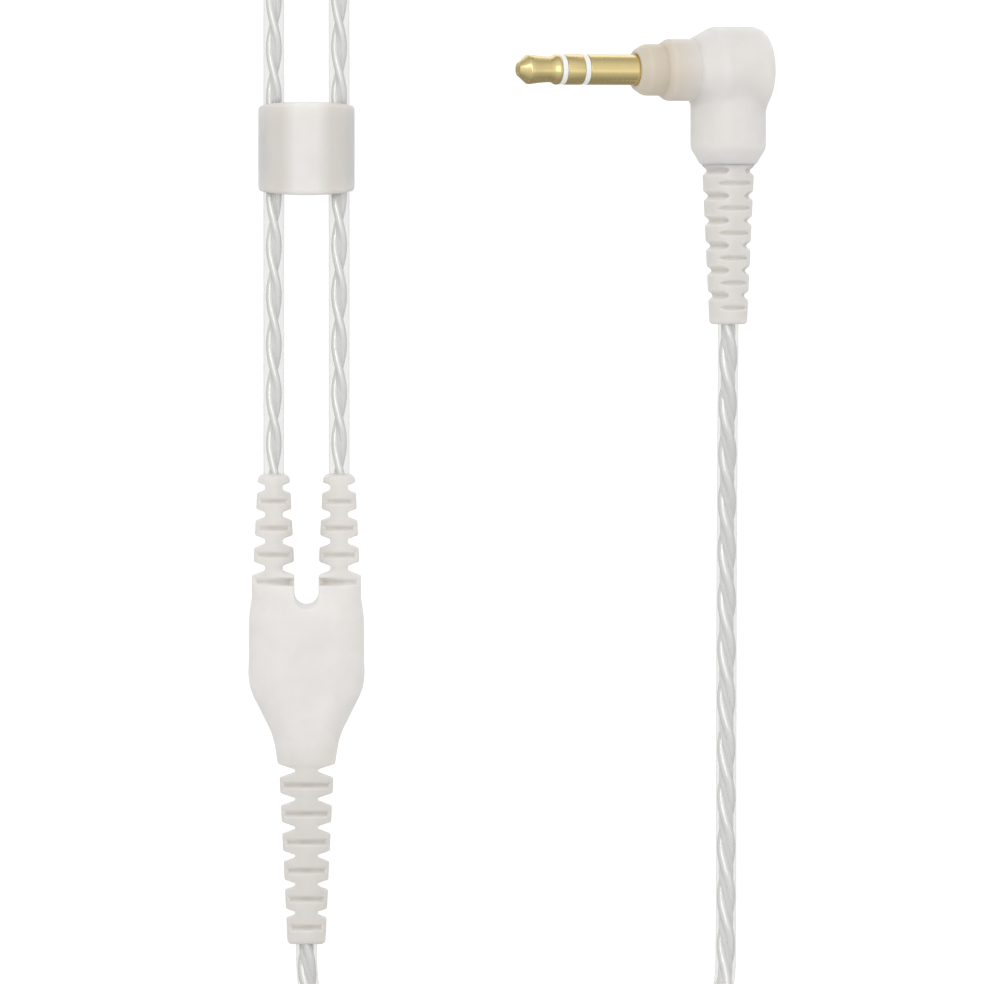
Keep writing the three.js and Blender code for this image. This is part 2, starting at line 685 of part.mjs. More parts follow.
// The ear guide: the sheathed end of the cord that hooks over the ear.
function guideRoute(x, earX) {
  const side = Math.sign(earX - x);
  const hookY = EAR_Y + CONNECTOR_END + GAP;
  const hook = [0.25, 0.5, 0.75].map((share) => {
    const turn = Math.PI * share;
    return [
      x + side * HOOK_R * (1 - Math.cos(turn)), hookY + HOOK_R * Math.sin(turn),
      GUIDE_R + (EAR_AXIS_Z - GUIDE_R) * share ** 2,
    ];
  });
  return [
    [x, 128, 1.55], [x, 140, 1.55], [x, 152, 1.55], [x, hookY, 1.6], ...hook,
    [earX, hookY + 0.6, EAR_AXIS_Z], [earX, hookY, EAR_AXIS_Z],
  ];
}

buildSplitter();
buildSlider();
buildPlug();
buildCords();
for (const [side, x, earX, mirror] of [['left', 21.0, EAR_LEFT_X, -1], ['right', 25.2, EAR_RIGHT_X, 1]]) {
  buildEarpiece(side, earX, mirror);
  place('ear_guide_' + side, hose(guideRoute(x, earX), GUIDE_R, 8, 14), CLEAR());
}

export default object;
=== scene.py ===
import json
import math

import bpy
import numpy as np
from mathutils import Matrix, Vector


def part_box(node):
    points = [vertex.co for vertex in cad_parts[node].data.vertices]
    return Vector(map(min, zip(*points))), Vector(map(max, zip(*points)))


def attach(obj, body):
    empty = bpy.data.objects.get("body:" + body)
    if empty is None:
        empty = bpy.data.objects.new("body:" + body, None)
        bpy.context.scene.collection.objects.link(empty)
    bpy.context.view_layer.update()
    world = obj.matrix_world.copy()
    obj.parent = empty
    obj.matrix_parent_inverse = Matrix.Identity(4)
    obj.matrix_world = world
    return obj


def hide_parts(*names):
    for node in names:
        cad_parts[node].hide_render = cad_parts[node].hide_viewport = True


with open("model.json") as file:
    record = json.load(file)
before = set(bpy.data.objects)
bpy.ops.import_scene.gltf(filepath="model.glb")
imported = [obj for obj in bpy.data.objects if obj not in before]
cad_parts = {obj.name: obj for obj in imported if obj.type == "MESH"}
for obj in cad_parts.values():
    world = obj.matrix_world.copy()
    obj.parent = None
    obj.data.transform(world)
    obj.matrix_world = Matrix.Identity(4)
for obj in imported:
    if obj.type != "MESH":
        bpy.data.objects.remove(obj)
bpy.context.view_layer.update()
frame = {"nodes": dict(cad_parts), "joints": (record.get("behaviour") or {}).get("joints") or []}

import openvdb
from mathutils import Vector

MM = 0.001
CORD_R = 1.2  # of the clear jacket
X_WAY = np.array([1.0, 0.0, 0.0])
Y_WAY = np.array([0.0, 1.0, 0.0])
UP = np.array([0.0, 0.0, 1.0])


def box_mm(node):
    low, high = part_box(node)
    return np.array(low) / MM, np.array(high) / MM


def middle_mm(node):
    low, high = box_mm(node)
    return (low + high) / 2


# ---- meshes


def make_piece(name, points, faces, materials, body="root", stands_for=(), slot=None, crease=None):
    """A smooth mesh that rides on a CAD body. Its points are in millimetres."""
    mesh = bpy.data.meshes.new(name)
    mesh.from_pydata((np.asarray(points, float) * MM).tolist(), [], [list(f) for f in faces])
    mesh.shade_smooth()
    if crease:
        mesh.set_sharp_from_angle(angle=math.radians(crease))
    for material in materials:
        mesh.materials.append(material)
    made = bpy.data.objects.new(name, mesh)
    bpy.context.scene.collection.objects.link(made)
    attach(made, body)
    if stands_for:
        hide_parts(*stands_for)
    return made


def keep_flats_flat(piece):
    """Shades large faces flat and leaves the gradient to the narrow faces of an eased edge."""
    piece.modifiers.new("flat_faces", "WEIGHTED_NORMAL").keep_sharp = True


def grid_faces(rows, sides, closed=False, first=0):
    """Quads between rows, each a ring of points. closed joins the last row to the first."""
    row = np.arange(rows if closed else rows - 1)[:, None]
    side = np.arange(sides)[None, :]
    next_row = (row + 1) % rows
    next_side = (side + 1) % sides
    corners = [row * sides + side, row * sides + next_side]
    corners += [next_row * sides + next_side, next_row * sides + side]
    return (np.stack(corners, axis=-1).reshape(-1, 4) + first).tolist()


def end_fans(start, end, last, sides):
    """Triangles from the point start to a grid's first row, and from the point end to its row at last."""
    faces = []
    for i in range(sides):
        j = (i + 1) % sides
        faces += [[start, j, i], [end, last + i, last + j]]
    return faces


def end_caps(first, last, sides):
    """A face over each end of a tube of rings."""
    return [list(range(first + sides - 1, first - 1, -1)), list(range(last, last + sides))]


def eased(profile, ease, closed=False, steps=3):
    """The profile with its corners rounded, each by at most ease or 0.45 of the shorter side."""
    at = np.array(profile, float)
    count = len(at)
    made = []
    for i in range(count):
        if not closed and i in (0, count - 1):
            made.append(at[i])
            continue
        before = at[i - 1] - at[i]
        after = at[(i + 1) % count] - at[i]
        long_before = np.linalg.norm(before)
        long_after = np.linalg.norm(after)
        reach = min(ease, 0.45 * long_before, 0.45 * long_after)
        a = at[i] + before / long_before * reach
        b = at[i] + after / long_after * reach
        for t in np.linspace(0, 1, steps + 1):
            made.append((1 - t) ** 2 * a + 2 * t * (1 - t) * at[i] + t**2 * b)
    return np.array(made)


def turned(profile, sides=64):
    """Points and faces of a profile of (radius, along) turned about Z. Its ends are on the axis, or it
    closes on itself."""
    profile = np.array(profile, float)
    on_axis = profile[0][0] == 0
    rows = profile[1:-1] if on_axis else profile
    turn = np.linspace(0, 2 * math.pi, sides, endpoint=False)
    ring = np.stack([np.cos(turn), np.sin(turn)], axis=-1)
    points = [np.column_stack([ring * r, np.full(sides, along)]) for r, along in rows]
    faces = grid_faces(len(rows), sides, closed=not on_axis)
    if on_axis:
        points.append(np.array([[0, 0, profile[0][1]], [0, 0, profile[-1][1]]]))
        start, end = len(rows) * sides, len(rows) * sides + 1
        faces += end_fans(start, end, (len(rows) - 1) * sides, sides)
    return np.concatenate(points), faces


def lathe(profile, ease, sides=64, steps=4):
    """A turned solid with eased corners."""
    return turned(eased(profile, ease, closed=profile[0][0] > 0, steps=steps), sides)


class Axes:
    """A place and three directions, which turn a piece's own coordinates into the part's."""

    def __init__(self, origin, x, y, z):
        self.origin = np.array(origin, float)
        self.turn = np.array([x, y, z], float)
        self.mirrored = np.linalg.det(self.turn) < 0

    def points(self, own):
        return np.asarray(own, float) @ self.turn + self.origin

    def faces(self, faces):
        return [list(reversed(f)) for f in faces] if self.mirrored else faces


def place(axes, shape):
    points, faces = shape
    return axes.points(points), axes.faces(faces)


# ---- solids from distances


def soft_max(a, b, ease):
    """The larger of two distances, with a fillet where they cross."""
    share = np.maximum(ease - np.abs(a - b), 0) / ease
    return np.maximum(a, b) + share * share * ease / 4


def soft_min(a, b, ease):
    return -soft_max(-a, -b, ease)


def cut(solid, hole, ease):
    return soft_max(solid, -hole, ease)


def ellipse(x, z, half_width, half_depth):
    """About the distance to an ellipse."""
    k0 = np.sqrt((x / half_width) ** 2 + (z / half_depth) ** 2)
    k1 = np.sqrt((x / half_width**2) ** 2 + (z / half_depth**2) ** 2) + 1e-6
    return k0 * (k0 - 1) / k1


def cylinder(across, along, radius, start, end, ease):
    """A round bar between two places along its axis, with eased edges."""
    return soft_max(across - radius, np.maximum(start - along, along - end), ease)


def cone(across, along, radius, start, narrow, end):
    """A chamfer that narrows from a radius at start to a smaller one at end."""
    slope = (radius - narrow) / (end - start)
    return (across - radius + (along - start) * slope) / math.hypot(1, slope)


def through(at, places, values):
    """A smooth curve through values at rising places, taken at each of at."""
    places = np.array(places, float)
    values = np.array(values, float)
    slopes = np.gradient(values, places)
    i = np.clip(np.searchsorted(places, at) - 1, 0, len(places) - 2)
    width = places[i + 1] - places[i]
    t = np.clip((at - places[i]) / width, 0, 1)
    rise = (3 - 2 * t) * t * t
    start_slope = t * (1 - t) ** 2 * width * slopes[i]
    end_slope = t * t * (t - 1) * width * slopes[i + 1]
    return values[i] * (1 - rise) + values[i + 1] * rise + start_slope + end_slope


def moulded(low, high, cell, distance):
    """Points and quads of the surface where distance(x, y, z) is zero."""
    low = np.array(low, float)
    ranges = [np.arange(a, b + cell, cell) for a, b in zip(low, high)]
    x, y, z = np.meshgrid(*ranges, indexing="ij", sparse=True)
    field = distance(x, y, z).astype(np.float32)
    grid = openvdb.FloatGrid(float(field.max()))
    grid.copyFromArray(field)
    points, quads = grid.convertToQuads(0.0)
    return points * cell + low, quads.tolist()


def nearest_of(along, first, pitch, count):
    """Distance from the nearest of evenly spaced places."""
    index = np.clip(np.round((along - first) / pitch), 0, count - 1)
    return along - first - pitch * index


def notch(outward, along, core, half_angle, floor, ease):
    """A wedge that opens outwards from a narrow, rounded floor at the core."""
    angle = math.radians(half_angle)
    apex = core - floor / math.tan(angle)
    wedge = np.abs(along) * math.cos(angle) - (outward - apex) * math.sin(angle)
    return soft_max(wedge, core - outward, ease)


def groove(outward, along, radial, start, floor_r, half_height, taper):
    """A shallow V that runs part of the way round a bar: its floor is a band of radius floor_r, its sides
    lean, and it narrows by taper towards its ends, where outward falls to start."""
    sides = (np.abs(along) - 0.1 - 0.85 * (radial - floor_r)) * 0.76
    outline = np.abs(along) - half_height - taper * (outward - start)
    return soft_max(soft_max(sides, outline, 0.06), np.maximum(floor_r - radial, start - outward), 0.08)


# ---- materials


def rgba(colour):
    return colour if isinstance(colour, bpy.types.NodeSocket) else (*colour, 1)


class Nodes:
    """A tree of shader nodes, added one at a time. An input is a value or another node's socket."""

    def __init__(self, tree):
        self.tree = tree

    def node(self, kind, inputs=None, **settings):
        made = self.tree.nodes.new(kind)
        for key, value in settings.items():
            setattr(made, key, value)
        for key, value in (inputs or {}).items():
            if isinstance(value, bpy.types.NodeSocket):
                self.tree.links.new(value, made.inputs[key])
            else:
                made.inputs[key].default_value = value
        return made

    def maths(self, operation, *values):
        return self.node("ShaderNodeMath", dict(enumerate(values)), operation=operation).outputs[0]

    def ramp(self, value, low, high, to_low=0.0, to_high=1.0):
        inputs = {"Value": value, "From Min": low, "From Max": high, "To Min": to_low, "To Max": to_high}
        return self.node("ShaderNodeMapRange", inputs, clamp=True).outputs["Result"]


class Shader(Nodes):
    """A material's nodes."""

    def __init__(self, name):
        self.material = bpy.data.materials.new(name)
        self.material.use_nodes = True
        super().__init__(self.material.node_tree)
        self.tree.nodes.clear()
        self.where = self.node("ShaderNodeTexCoord").outputs["Object"]

    def noise(self, size_mm, detail=2.0):
        """Noise with features of about that size."""
        inputs = {"Vector": self.where, "Scale": 1 / (size_mm * MM), "Detail": detail}
        return self.node("ShaderNodeTexNoise", inputs).outputs["Fac"]

    def blend(self, factor, a, b):
        """The mix of two colours, whose sockets are the node's seventh and eighth."""
        inputs = {"Factor": factor, 6: rgba(a), 7: rgba(b)}
        return self.node("ShaderNodeMix", inputs, data_type="RGBA").outputs[2]

    def along(self, origin_mm, direction):
        """Millimetres along a direction from a point."""
        origin = tuple(origin_mm * MM)
        offset = self.node("ShaderNodeVectorMath", {0: self.where, 1: origin}, operation="SUBTRACT")
        inputs = {0: offset.outputs[0], 1: tuple(direction / MM)}
        return self.node("ShaderNodeVectorMath", inputs, operation="DOT_PRODUCT").outputs["Value"]

    def bump(self, height, depth_mm, strength=1.0):
        inputs = {"Height": height, "Distance": depth_mm * MM, "Strength": strength}
        return self.node("ShaderNodeBump", inputs).outputs["Normal"]

    def surface(self, colour, roughness, metallic=0.0, normal=None, **more):
        inputs = {"Base Color": rgba(colour), "Roughness": roughness, "Metallic": metallic}
        if normal:
            inputs["Normal"] = normal
        inputs.update(more)
        return self.node("ShaderNodeBsdfPrincipled", inputs).outputs["BSDF"]

    def finish(self, shader):
        self.node("ShaderNodeOutputMaterial", {"Surface": shader})
        return self.material


MILKY = (0.775, 0.75, 0.728)
MILKY_PALE = (0.80, 0.778, 0.757)
MILKY_WARM = (0.66, 0.59, 0.49)  # PVC with gold close under it
CORD_SHADE = (0.60, 0.565, 0.53)  # PVC with a cord close under it
SLIDER_SHADE = (0.685, 0.65, 0.615)  # the same under the slider's thicker wall


def milky_pvc(name, warm=None, cords=None, darker=0.0):
    """Soft translucent PVC with faint clouding and a fine moulded grain. warm=(point, direction, from, to)
    tints it over metal. cords=(depth, shade) tints it over a cord: depth is a function of the shader that
    gives a socket for the share of the shade. darker is the share of CORD_SHADE over the whole piece."""
    s = Shader(name)
    cloud = s.noise(2.6, 3)
    colour = s.blend(s.ramp(cloud, 0.35, 0.65), MILKY, MILKY_PALE)
    colour = s.blend(darker, colour, CORD_SHADE)
    if cords:
        depth, shade = cords
        colour = s.blend(depth(s), colour, shade)
    if warm:
        point, direction, start, end = warm
        colour = s.blend(s.ramp(s.along(point, direction), start, end), colour, MILKY_WARM)
    grain = s.bump(s.noise(0.09, 2), 0.008, 0.3)
    roughness = s.ramp(s.noise(0.7, 2), 0.3, 0.7, 0.3, 0.38)
    return s.finish(s.surface(colour, roughness, normal=grain, **{
        "Subsurface Weight": 1.0, "Subsurface Radius": (2.0, 1.85, 1.6), "Subsurface Scale": MM,
        "IOR": 1.45, "Specular IOR Level": 0.4,
    }))


def over_slider_cords(s):
    """1 over the slider's two cords, fading towards its middle and a little at its sides."""
    aside = s.maths("ABSOLUTE", s.along(middle_mm("slider"), X_WAY))
    return s.maths("MULTIPLY", s.ramp(aside, 1.3, 2.9), s.ramp(aside, 4.9, 5.4, 1, 0.6))


def over_splitter_cords(s):
    """The share of a cord's shade on the splitter: on its ribs, and a little more on the floors of their
    slots over a cord."""
    centre = middle_mm("splitter_body") * [0, 1, 1]
    along = s.along(centre, Y_WAY)
    depth = s.along(centre, UP)
    axis = s.ramp(along, 10.0, 13.0, 0.0, LEG_X)
    across = s.maths("SUBTRACT", s.maths("ABSOLUTE", s.along(centre, X_WAY)), axis)
    square = s.maths("MULTIPLY_ADD", depth, depth, s.maths("MULTIPLY", across, across))
    radial = s.maths("POWER", square, 0.5)
    leg_r = s.ramp(along, -7.5, 26.4, 3.54, 1.86)
    lower_r = s.ramp(along, -7.5, -26.5, 3.1, 2.2)
    below = s.maths("SUBTRACT", s.maths("MINIMUM", leg_r, lower_r), radial)
    middle = s.ramp(s.maths("ABSOLUTE", across), 0.4, 1.0, 1, 0)
    slots = s.maths("MULTIPLY", s.ramp(below, 0.1, 0.25, 0, 0.2), middle)
    ribs = s.maths("ADD", s.ramp(along, 13.2, 16.2, 0, 0.36), s.ramp(along, -4.0, -8.0, 0, 0.5))
    return s.maths("ADD", slots, ribs)


def clear_plastic(name, tint, body, edge, centre=0.04):
    """Clear plastic: a faint grey tint through it, and more of its own colour towards its edges, as a tube
    or a thin shell of it looks."""
    s = Shader(name)
    colour = s.blend(s.noise(3.0, 2), body, tuple(0.94 * c for c in body))
    ripple = s.bump(s.noise(1.4, 2), 0.02, 0.25)
    solid = s.surface(colour, 0.08, normal=ripple, **{"Specular IOR Level": 0.5})
    facing = s.node("ShaderNodeLayerWeight", {"Blend": 0.35}).outputs["Facing"]
    share = s.ramp(facing, 0.3, 1.0, centre, edge)
    clear = s.node("ShaderNodeBsdfTransparent", {"Color": (*tint, 1)}).outputs["BSDF"]
    mix = s.node("ShaderNodeMixShader", {0: share, 1: clear, 2: solid})
    return s.finish(mix.outputs[0])


def gold_plate(name, origin, direction):
    """Polished gold with the fine rings that turning leaves across its axis."""
    s = Shader(name)
    along = s.along(origin, direction)
    line = s.node("ShaderNodeCombineXYZ", {"X": along}).outputs[0]
    rings = {"Vector": line, "Scale": 14.0, "Detail": 4.0}
    fine = s.node("ShaderNodeTexNoise", rings).outputs["Fac"]
    colour = s.blend(s.noise(1.2, 3), (0.76, 0.605, 0.28), (0.80, 0.65, 0.32))
    roughness = s.ramp(fine, 0.3, 0.7, 0.2, 0.3)
    return s.finish(s.surface(colour, roughness, 1.0, s.bump(fine, 0.002, 0.25)))


def metal(name, colour, low, high, grain_mm):
    s = Shader(name)
    shade = s.blend(s.noise(1.5, 3), colour, tuple(0.86 * c for c in colour))
    grain = s.noise(grain_mm, 4)
    roughness = s.ramp(grain, 0.3, 0.7, low, high)
    return s.finish(s.surface(shade, roughness, 1.0, s.bump(grain, 0.006, 0.3)))


def strand_metal():
    """Silver-plated wires in a clear skin: fine lines follow each strand's lay."""
    s = Shader("silver_strand")
    lay = s.node("ShaderNodeAttribute", attribute_name="lay").outputs["Vector"]
    wires = s.node("ShaderNodeTexNoise", {"Vector": lay, "Scale": 1.0, "Detail": 2.0}).outputs["Fac"]
    colour = s.blend(s.ramp(wires, 0.3, 0.7), (0.91, 0.905, 0.89), (0.94, 0.935, 0.92))
    roughness = s.ramp(wires, 0.3, 0.7, 0.18, 0.23)
    return s.finish(s.surface(colour, roughness, 0.3, s.bump(wires, 0.006, 0.08)))


def plastic(name, colour, roughness):
    s = Shader(name)
    shade = s.blend(s.noise(1.8, 3), colour, tuple(0.93 * c for c in colour))
    grain = s.noise(0.15, 3)
    rough = s.ramp(grain, 0.3, 0.7, roughness - 0.05, roughness + 0.05)
    return s.finish(s.surface(shade, rough, 0.0, s.bump(grain, 0.006, 0.4)))


def silicone():
    s = Shader("silicone_tip")
    shade = s.blend(s.noise(2.5, 3), (0.62, 0.63, 0.64), (0.68, 0.69, 0.70))
    grain = s.bump(s.noise(0.12, 3), 0.008, 0.4)
    return s.finish(s.surface(shade, s.ramp(s.noise(0.8, 2), 0.3, 0.7, 0.42, 0.55), normal=grain, **{
        "Subsurface Weight": 0.4, "Subsurface Radius": (1.2, 1.2, 1.2), "Subsurface Scale": MM,
        "Sheen Weight": 0.15,
    }))


def mesh_screen(centre, direction, across):
    """Woven steel: a grid of holes, painted near-black as painted shade for the dark hollow seen through
    them.
    """
    s = Shader("filter_screen")
    pitch = 0.34
    rows = []
    for way in (across, np.cross(direction, across)):
        rows.append(s.maths("SINE", s.maths("MULTIPLY", s.along(centre, way), 2 * math.pi / pitch)))
    both = s.maths("MULTIPLY", *rows)
    hole = s.ramp(both, 0.1, 0.4)
    # Painted shade: where hole is high the colour is near-black, in place of the shaded hollow behind the
    # screen.
    colour = s.blend(hole, (0.62, 0.63, 0.64), (0.03, 0.03, 0.03))
    return s.finish(s.surface(colour, 0.35, 0.9, s.bump(s.ramp(both, -1, 1), -0.12, 1.0)))


def woven_strap():
    s = Shader("strap_weave")
    wave = {"Vector": s.where, "Scale": 1 / (0.9 * MM), "Distortion": 1.5, "Detail": 2.0, "Detail Scale": 2.0}
    thread = s.node("ShaderNodeTexWave", wave, bands_direction="DIAGONAL").outputs["Fac"]
    fuzz = s.noise(0.15, 4)
    height = s.maths("ADD", thread, fuzz)
    colour = s.blend(thread, (0.55, 0.545, 0.53), (0.70, 0.695, 0.68))
    return s.finish(s.surface(colour, 0.85, 0.0, s.bump(height, 0.07, 0.7), **{"Sheen Weight": 0.3}))


# ---- camera, lights and floor

VIEW_MIDDLE = (21.3, 24.9, 3.3)
VIEW_WIDTH = 112.97
LENS = 1500.0
SENSOR = 36.0
# Brightness of the sky against a direction's lean up, and towards +Y: lean from, to, brightness from, to.
SKY_HEIGHT = (0.0, 0.75, 0.52, 0.98)
SKY_BACK = (-0.9, 0.1, 0.62, 1.0)
FLOOR_HALF = 6.0
FLOOR_Z = -1e-5


def build_camera():
    data = bpy.data.cameras.new("camera")
    data.lens = LENS
    data.sensor_width = SENSOR
    camera = bpy.data.objects.new("camera", data)
    x, y, z = VIEW_MIDDLE
    camera.location = (x * MM, y * MM, z * MM + VIEW_WIDTH * MM * LENS / SENSOR)
    data.clip_end = 10.0
    bpy.context.scene.collection.objects.link(camera)
    bpy.context.scene.camera = camera


def softbox(name, towards, distance, size, radiance):
    """A rectangular light that faces the middle of the view from a direction."""
    aim = Vector(VIEW_MIDDLE) * MM
    data = bpy.data.lights.new(name, "AREA")
    data.shape = "RECTANGLE"
    data.size, data.size_y = size
    data.energy = radiance * math.pi * size[0] * size[1]
    light = bpy.data.objects.new(name, data)
    light.location = aim + Vector(towards).normalized() * distance
    light.rotation_euler = Vector(towards).to_track_quat("Z", "Y").to_euler()
    light.visible_camera = False
    bpy.context.scene.collection.objects.link(light)


def build_sky():
    """A pale studio, brightest overhead and dimmer towards the horizon, most of all on the -Y side."""
    world = bpy.data.worlds.new("studio")
    world.use_nodes = True
    s = Nodes(world.node_tree)
    direction = s.node("ShaderNodeTexCoord").outputs["Generated"]

    def lean(axis):
        dot = s.node("ShaderNodeVectorMath", {0: direction, 1: axis}, operation="DOT_PRODUCT")
        return dot.outputs["Value"]

    height = s.ramp(lean((0, 0, 1)), *SKY_HEIGHT)
    back = s.ramp(lean((0, 1, 0)), *SKY_BACK)
    low = s.ramp(lean((0, 0, -1)), 0.1, 0.5, 0, 0.9)
    low_back = s.maths("MULTIPLY", low, s.ramp(lean((0, 1, 0)), 0.2, 0.6))
    background = s.tree.nodes["Background"]
    background.inputs["Color"].default_value = (0.985, 0.995, 1.0, 1)
    strength = s.maths("ADD", s.maths("MULTIPLY", height, back), low_back)
    s.tree.links.new(strength, background.inputs["Strength"])
    bpy.context.scene.world = world


def build_studio():
    scene = bpy.context.scene
    scene.view_settings.view_transform = "Standard"
    build_sky()
    softbox("top", (0.0, 0.12, 1.0), 0.8, (0.5, 0.5), 1.25)
    softbox("key", (-0.41, 0.40, 0.84), 0.8, (0.07, 0.45), 5.0)
    softbox("side", (0.70, -0.12, 0.71), 0.8, (0.25, 0.5), 0.3)
    s = Shader("pale_floor")
    colour = s.blend(s.noise(40.0, 3), (0.30, 0.30, 0.30), (0.31, 0.31, 0.31))
    emission = {"Emission Color": (1, 1, 1, 1), "Emission Strength": 0.82}
    material = s.finish(s.surface(colour, 0.6, 0.0, s.bump(s.noise(0.4, 3), 0.01, 0.1), **emission))
    mesh = bpy.data.meshes.new("floor")
    corners = [(x * FLOOR_HALF, y * FLOOR_HALF, FLOOR_Z) for x, y in ((-1, -1), (1, -1), (1, 1), (-1, 1))]
    mesh.from_pydata(corners, [], [(0, 1, 2, 3)])
    mesh.materials.append(material)
    floor = bpy.data.objects.new("floor", mesh)
    floor.visible_glossy = False
    scene.collection.objects.link(floor)


# ---- cords

# Points, in metres, of the stretches that aren't coiled.
GUIDE_RUN = [  # Y and Z of each upper cord on its way to the hook over the ear
    (0.1182, 0.0034), (0.1205, 0.0026), (0.1235, 0.0019), (0.1277, 0.00155), (0.14, 0.00155),
    (0.152, 0.00155),
]
ROUTES = {
    "left_start": [
        (-0.00375, 0.0106, 0.0033), (-0.00375, 0.027, 0.0033), (-0.00375, 0.05, 0.0033),
        (-0.00375, 0.07, 0.0033), (-0.00375, 0.083, 0.0033), (-0.00375, 0.0848, 0.00325),
        (-0.0031, 0.0885, 0.0028), (-0.0012, 0.0918, 0.0022), (0.0014, 0.0941, 0.0019),
    ],
    "left_end": [(0.021, y, z) for y, z in GUIDE_RUN],
    "right_start": [
        (0.00375, 0.0106, 0.0033), (0.00375, 0.027, 0.0033), (0.00375, 0.05, 0.0033),
        (0.00375, 0.072, 0.0033), (0.00375, 0.083, 0.0033), (0.0038, 0.0846, 0.0032),
        (0.0046, 0.087, 0.0026), (0.0068, 0.0894, 0.0019), (0.0105, 0.0907, 0.0014),
        (0.0145, 0.091, 0.00125), (0.0185, 0.0916, 0.00135), (0.0222, 0.0936, 0.0016),
        (0.0244, 0.097, 0.0019), (0.0252, 0.1006, 0.0019),
    ],
    "right_end": [(0.0252, y, z) for y, z in GUIDE_RUN],
    "main_start": [
        (0.0, 0.0017, 0.0033), (0.0, -0.015, 0.0033), (0.0, -0.027, 0.0033),
        (0.00015, -0.031, 0.0029), (0.0009, -0.035, 0.0019), (0.0026, -0.0386, 0.0016),
        (0.0049, -0.0416, 0.0019), (0.0057, -0.043, 0.0019),
    ],
    "main_end": [
        (0.04235, -0.043, 0.0082), (0.0436, -0.0405, 0.0066), (0.0455, -0.0372, 0.0043),
        (0.0473, -0.0341, 0.0026), (0.04802, -0.0308, 0.0016), (0.04815, -0.026, 0.00125),
        (0.0482, -0.005, 0.00125), (0.04823, 0.01, 0.0015), (0.04828, 0.022, 0.0027),
        (0.04833, 0.033, 0.0047), (0.0484, 0.04, 0.0057), (0.0484, 0.044, 0.00595),
        (0.0484, 0.055, 0.00595), (0.0484, 0.0653, 0.00595),
    ],
}
COIL_STEP = 15  # degrees between a coil's points
CROSSING = 90  # where on the coil its turns change places
CROSSING_WIDTH = 40
HOOK_R = 9.5
HOOK_LOW_Z = 1.5
CONNECTOR_Y = 160.6  # where a cord goes into its connector
GUIDE_START_Y = 128
PATH_STEP = 0.7
LAY_PITCH = 11.34  # of the twisted strands
# Strands (material 1) and fillers (2): distance from the axis, place round it in turns, radius, material.
UPPER_CORE = [(0.455, 0.0, 0.455, 1), (0.455, 0.5, 0.455, 1), (0.0, 0.0, 0.42, 2)]
MAIN_CORE = [(0.51, 0.0, 0.56, 1), (0.51, 0.5, 0.56, 1), (0.52, 0.25, 0.32, 2), (0.52, 0.75, 0.32, 2)]
# How many of a path's points at its start and end are inside a moulding, where the jacket is stripped.
UPPER_STRIPPED = (22, 0)
MAIN_STRIPPED = (40, 20)
JACKET_SIDES = 16
STRAND_SIDES = 12
# How the noise that draws a strand's wires runs: radians per mm, and its scale across and along.
WIRE_TURN, WIRE_ACROSS, WIRE_ALONG = 1.1, 4, 0.25


def route_mm(name):
    return np.array(ROUTES[name]) / MM


def coil_points(node, rows, layers, start, turns, way):
    """Points on the turns of a coil that fills a CAD coil's solid. way is 1 if seen from above it winds
    anticlockwise."""
    low, high = box_mm(node)
    centre = (low + high) / 2
    outer = (high[0] - low[0]) / 2 - CORD_R
    slots = []
    for layer in range(layers):
        radii = [outer - 2 * CORD_R * k for k in range(rows)]
        if layer % 2:
            radii.reverse()
        slots += [(radius, low[2] + CORD_R * (2 * layer + 1)) for radius in radii]
    slots = np.array(slots)
    passed = (way * (start - CROSSING)) % 360
    made = []
    for angle in np.arange(0, turns * 360 + 1, COIL_STEP):
        progress = (passed + angle) / 360
        k = int(round(progress))
        share = np.clip((progress - k) * 360 / CROSSING_WIDTH + 0.5, 0, 1)
        share = share * share * (3 - 2 * share)
        before, after = slots[max(k - 1, 0)], slots[min(k, len(slots) - 1)]
        radius, z = before + (after - before) * share
        turn = math.radians(start + way * angle)
        made.append((centre[0] + radius * math.cos(turn), centre[1] + radius * math.sin(turn), z))
    return np.array(made)


def swivel_mm(side):
    """The centre of an earpiece's snap connector, which it turns about."""
    joint = next(j for j in frame["joints"] if j["name"] == "swivel_" + side)
    return np.array(joint["pos_m"]) / MM


def ear_hook(side):
    """The arc over the ear, from the end of the guide's straight stretch to the connector."""
    x = route_mm(side + "_end")[-1][0]
    ear_x, _, ear_z = swivel_mm(side)
    way = math.copysign(1, ear_x - x)
    made = [(x, CONNECTOR_Y, HOOK_LOW_Z + 0.1)]
    for share in (0.25, 0.5, 0.75):
        turn = math.pi * share
        z = HOOK_LOW_Z + (ear_z - HOOK_LOW_Z) * share**2
        made.append((x + way * HOOK_R * (1 - math.cos(turn)), CONNECTOR_Y + HOOK_R * math.sin(turn), z))
    made += [(ear_x, CONNECTOR_Y + 0.6, ear_z), (ear_x, CONNECTOR_Y, ear_z)]
    return np.array(made)


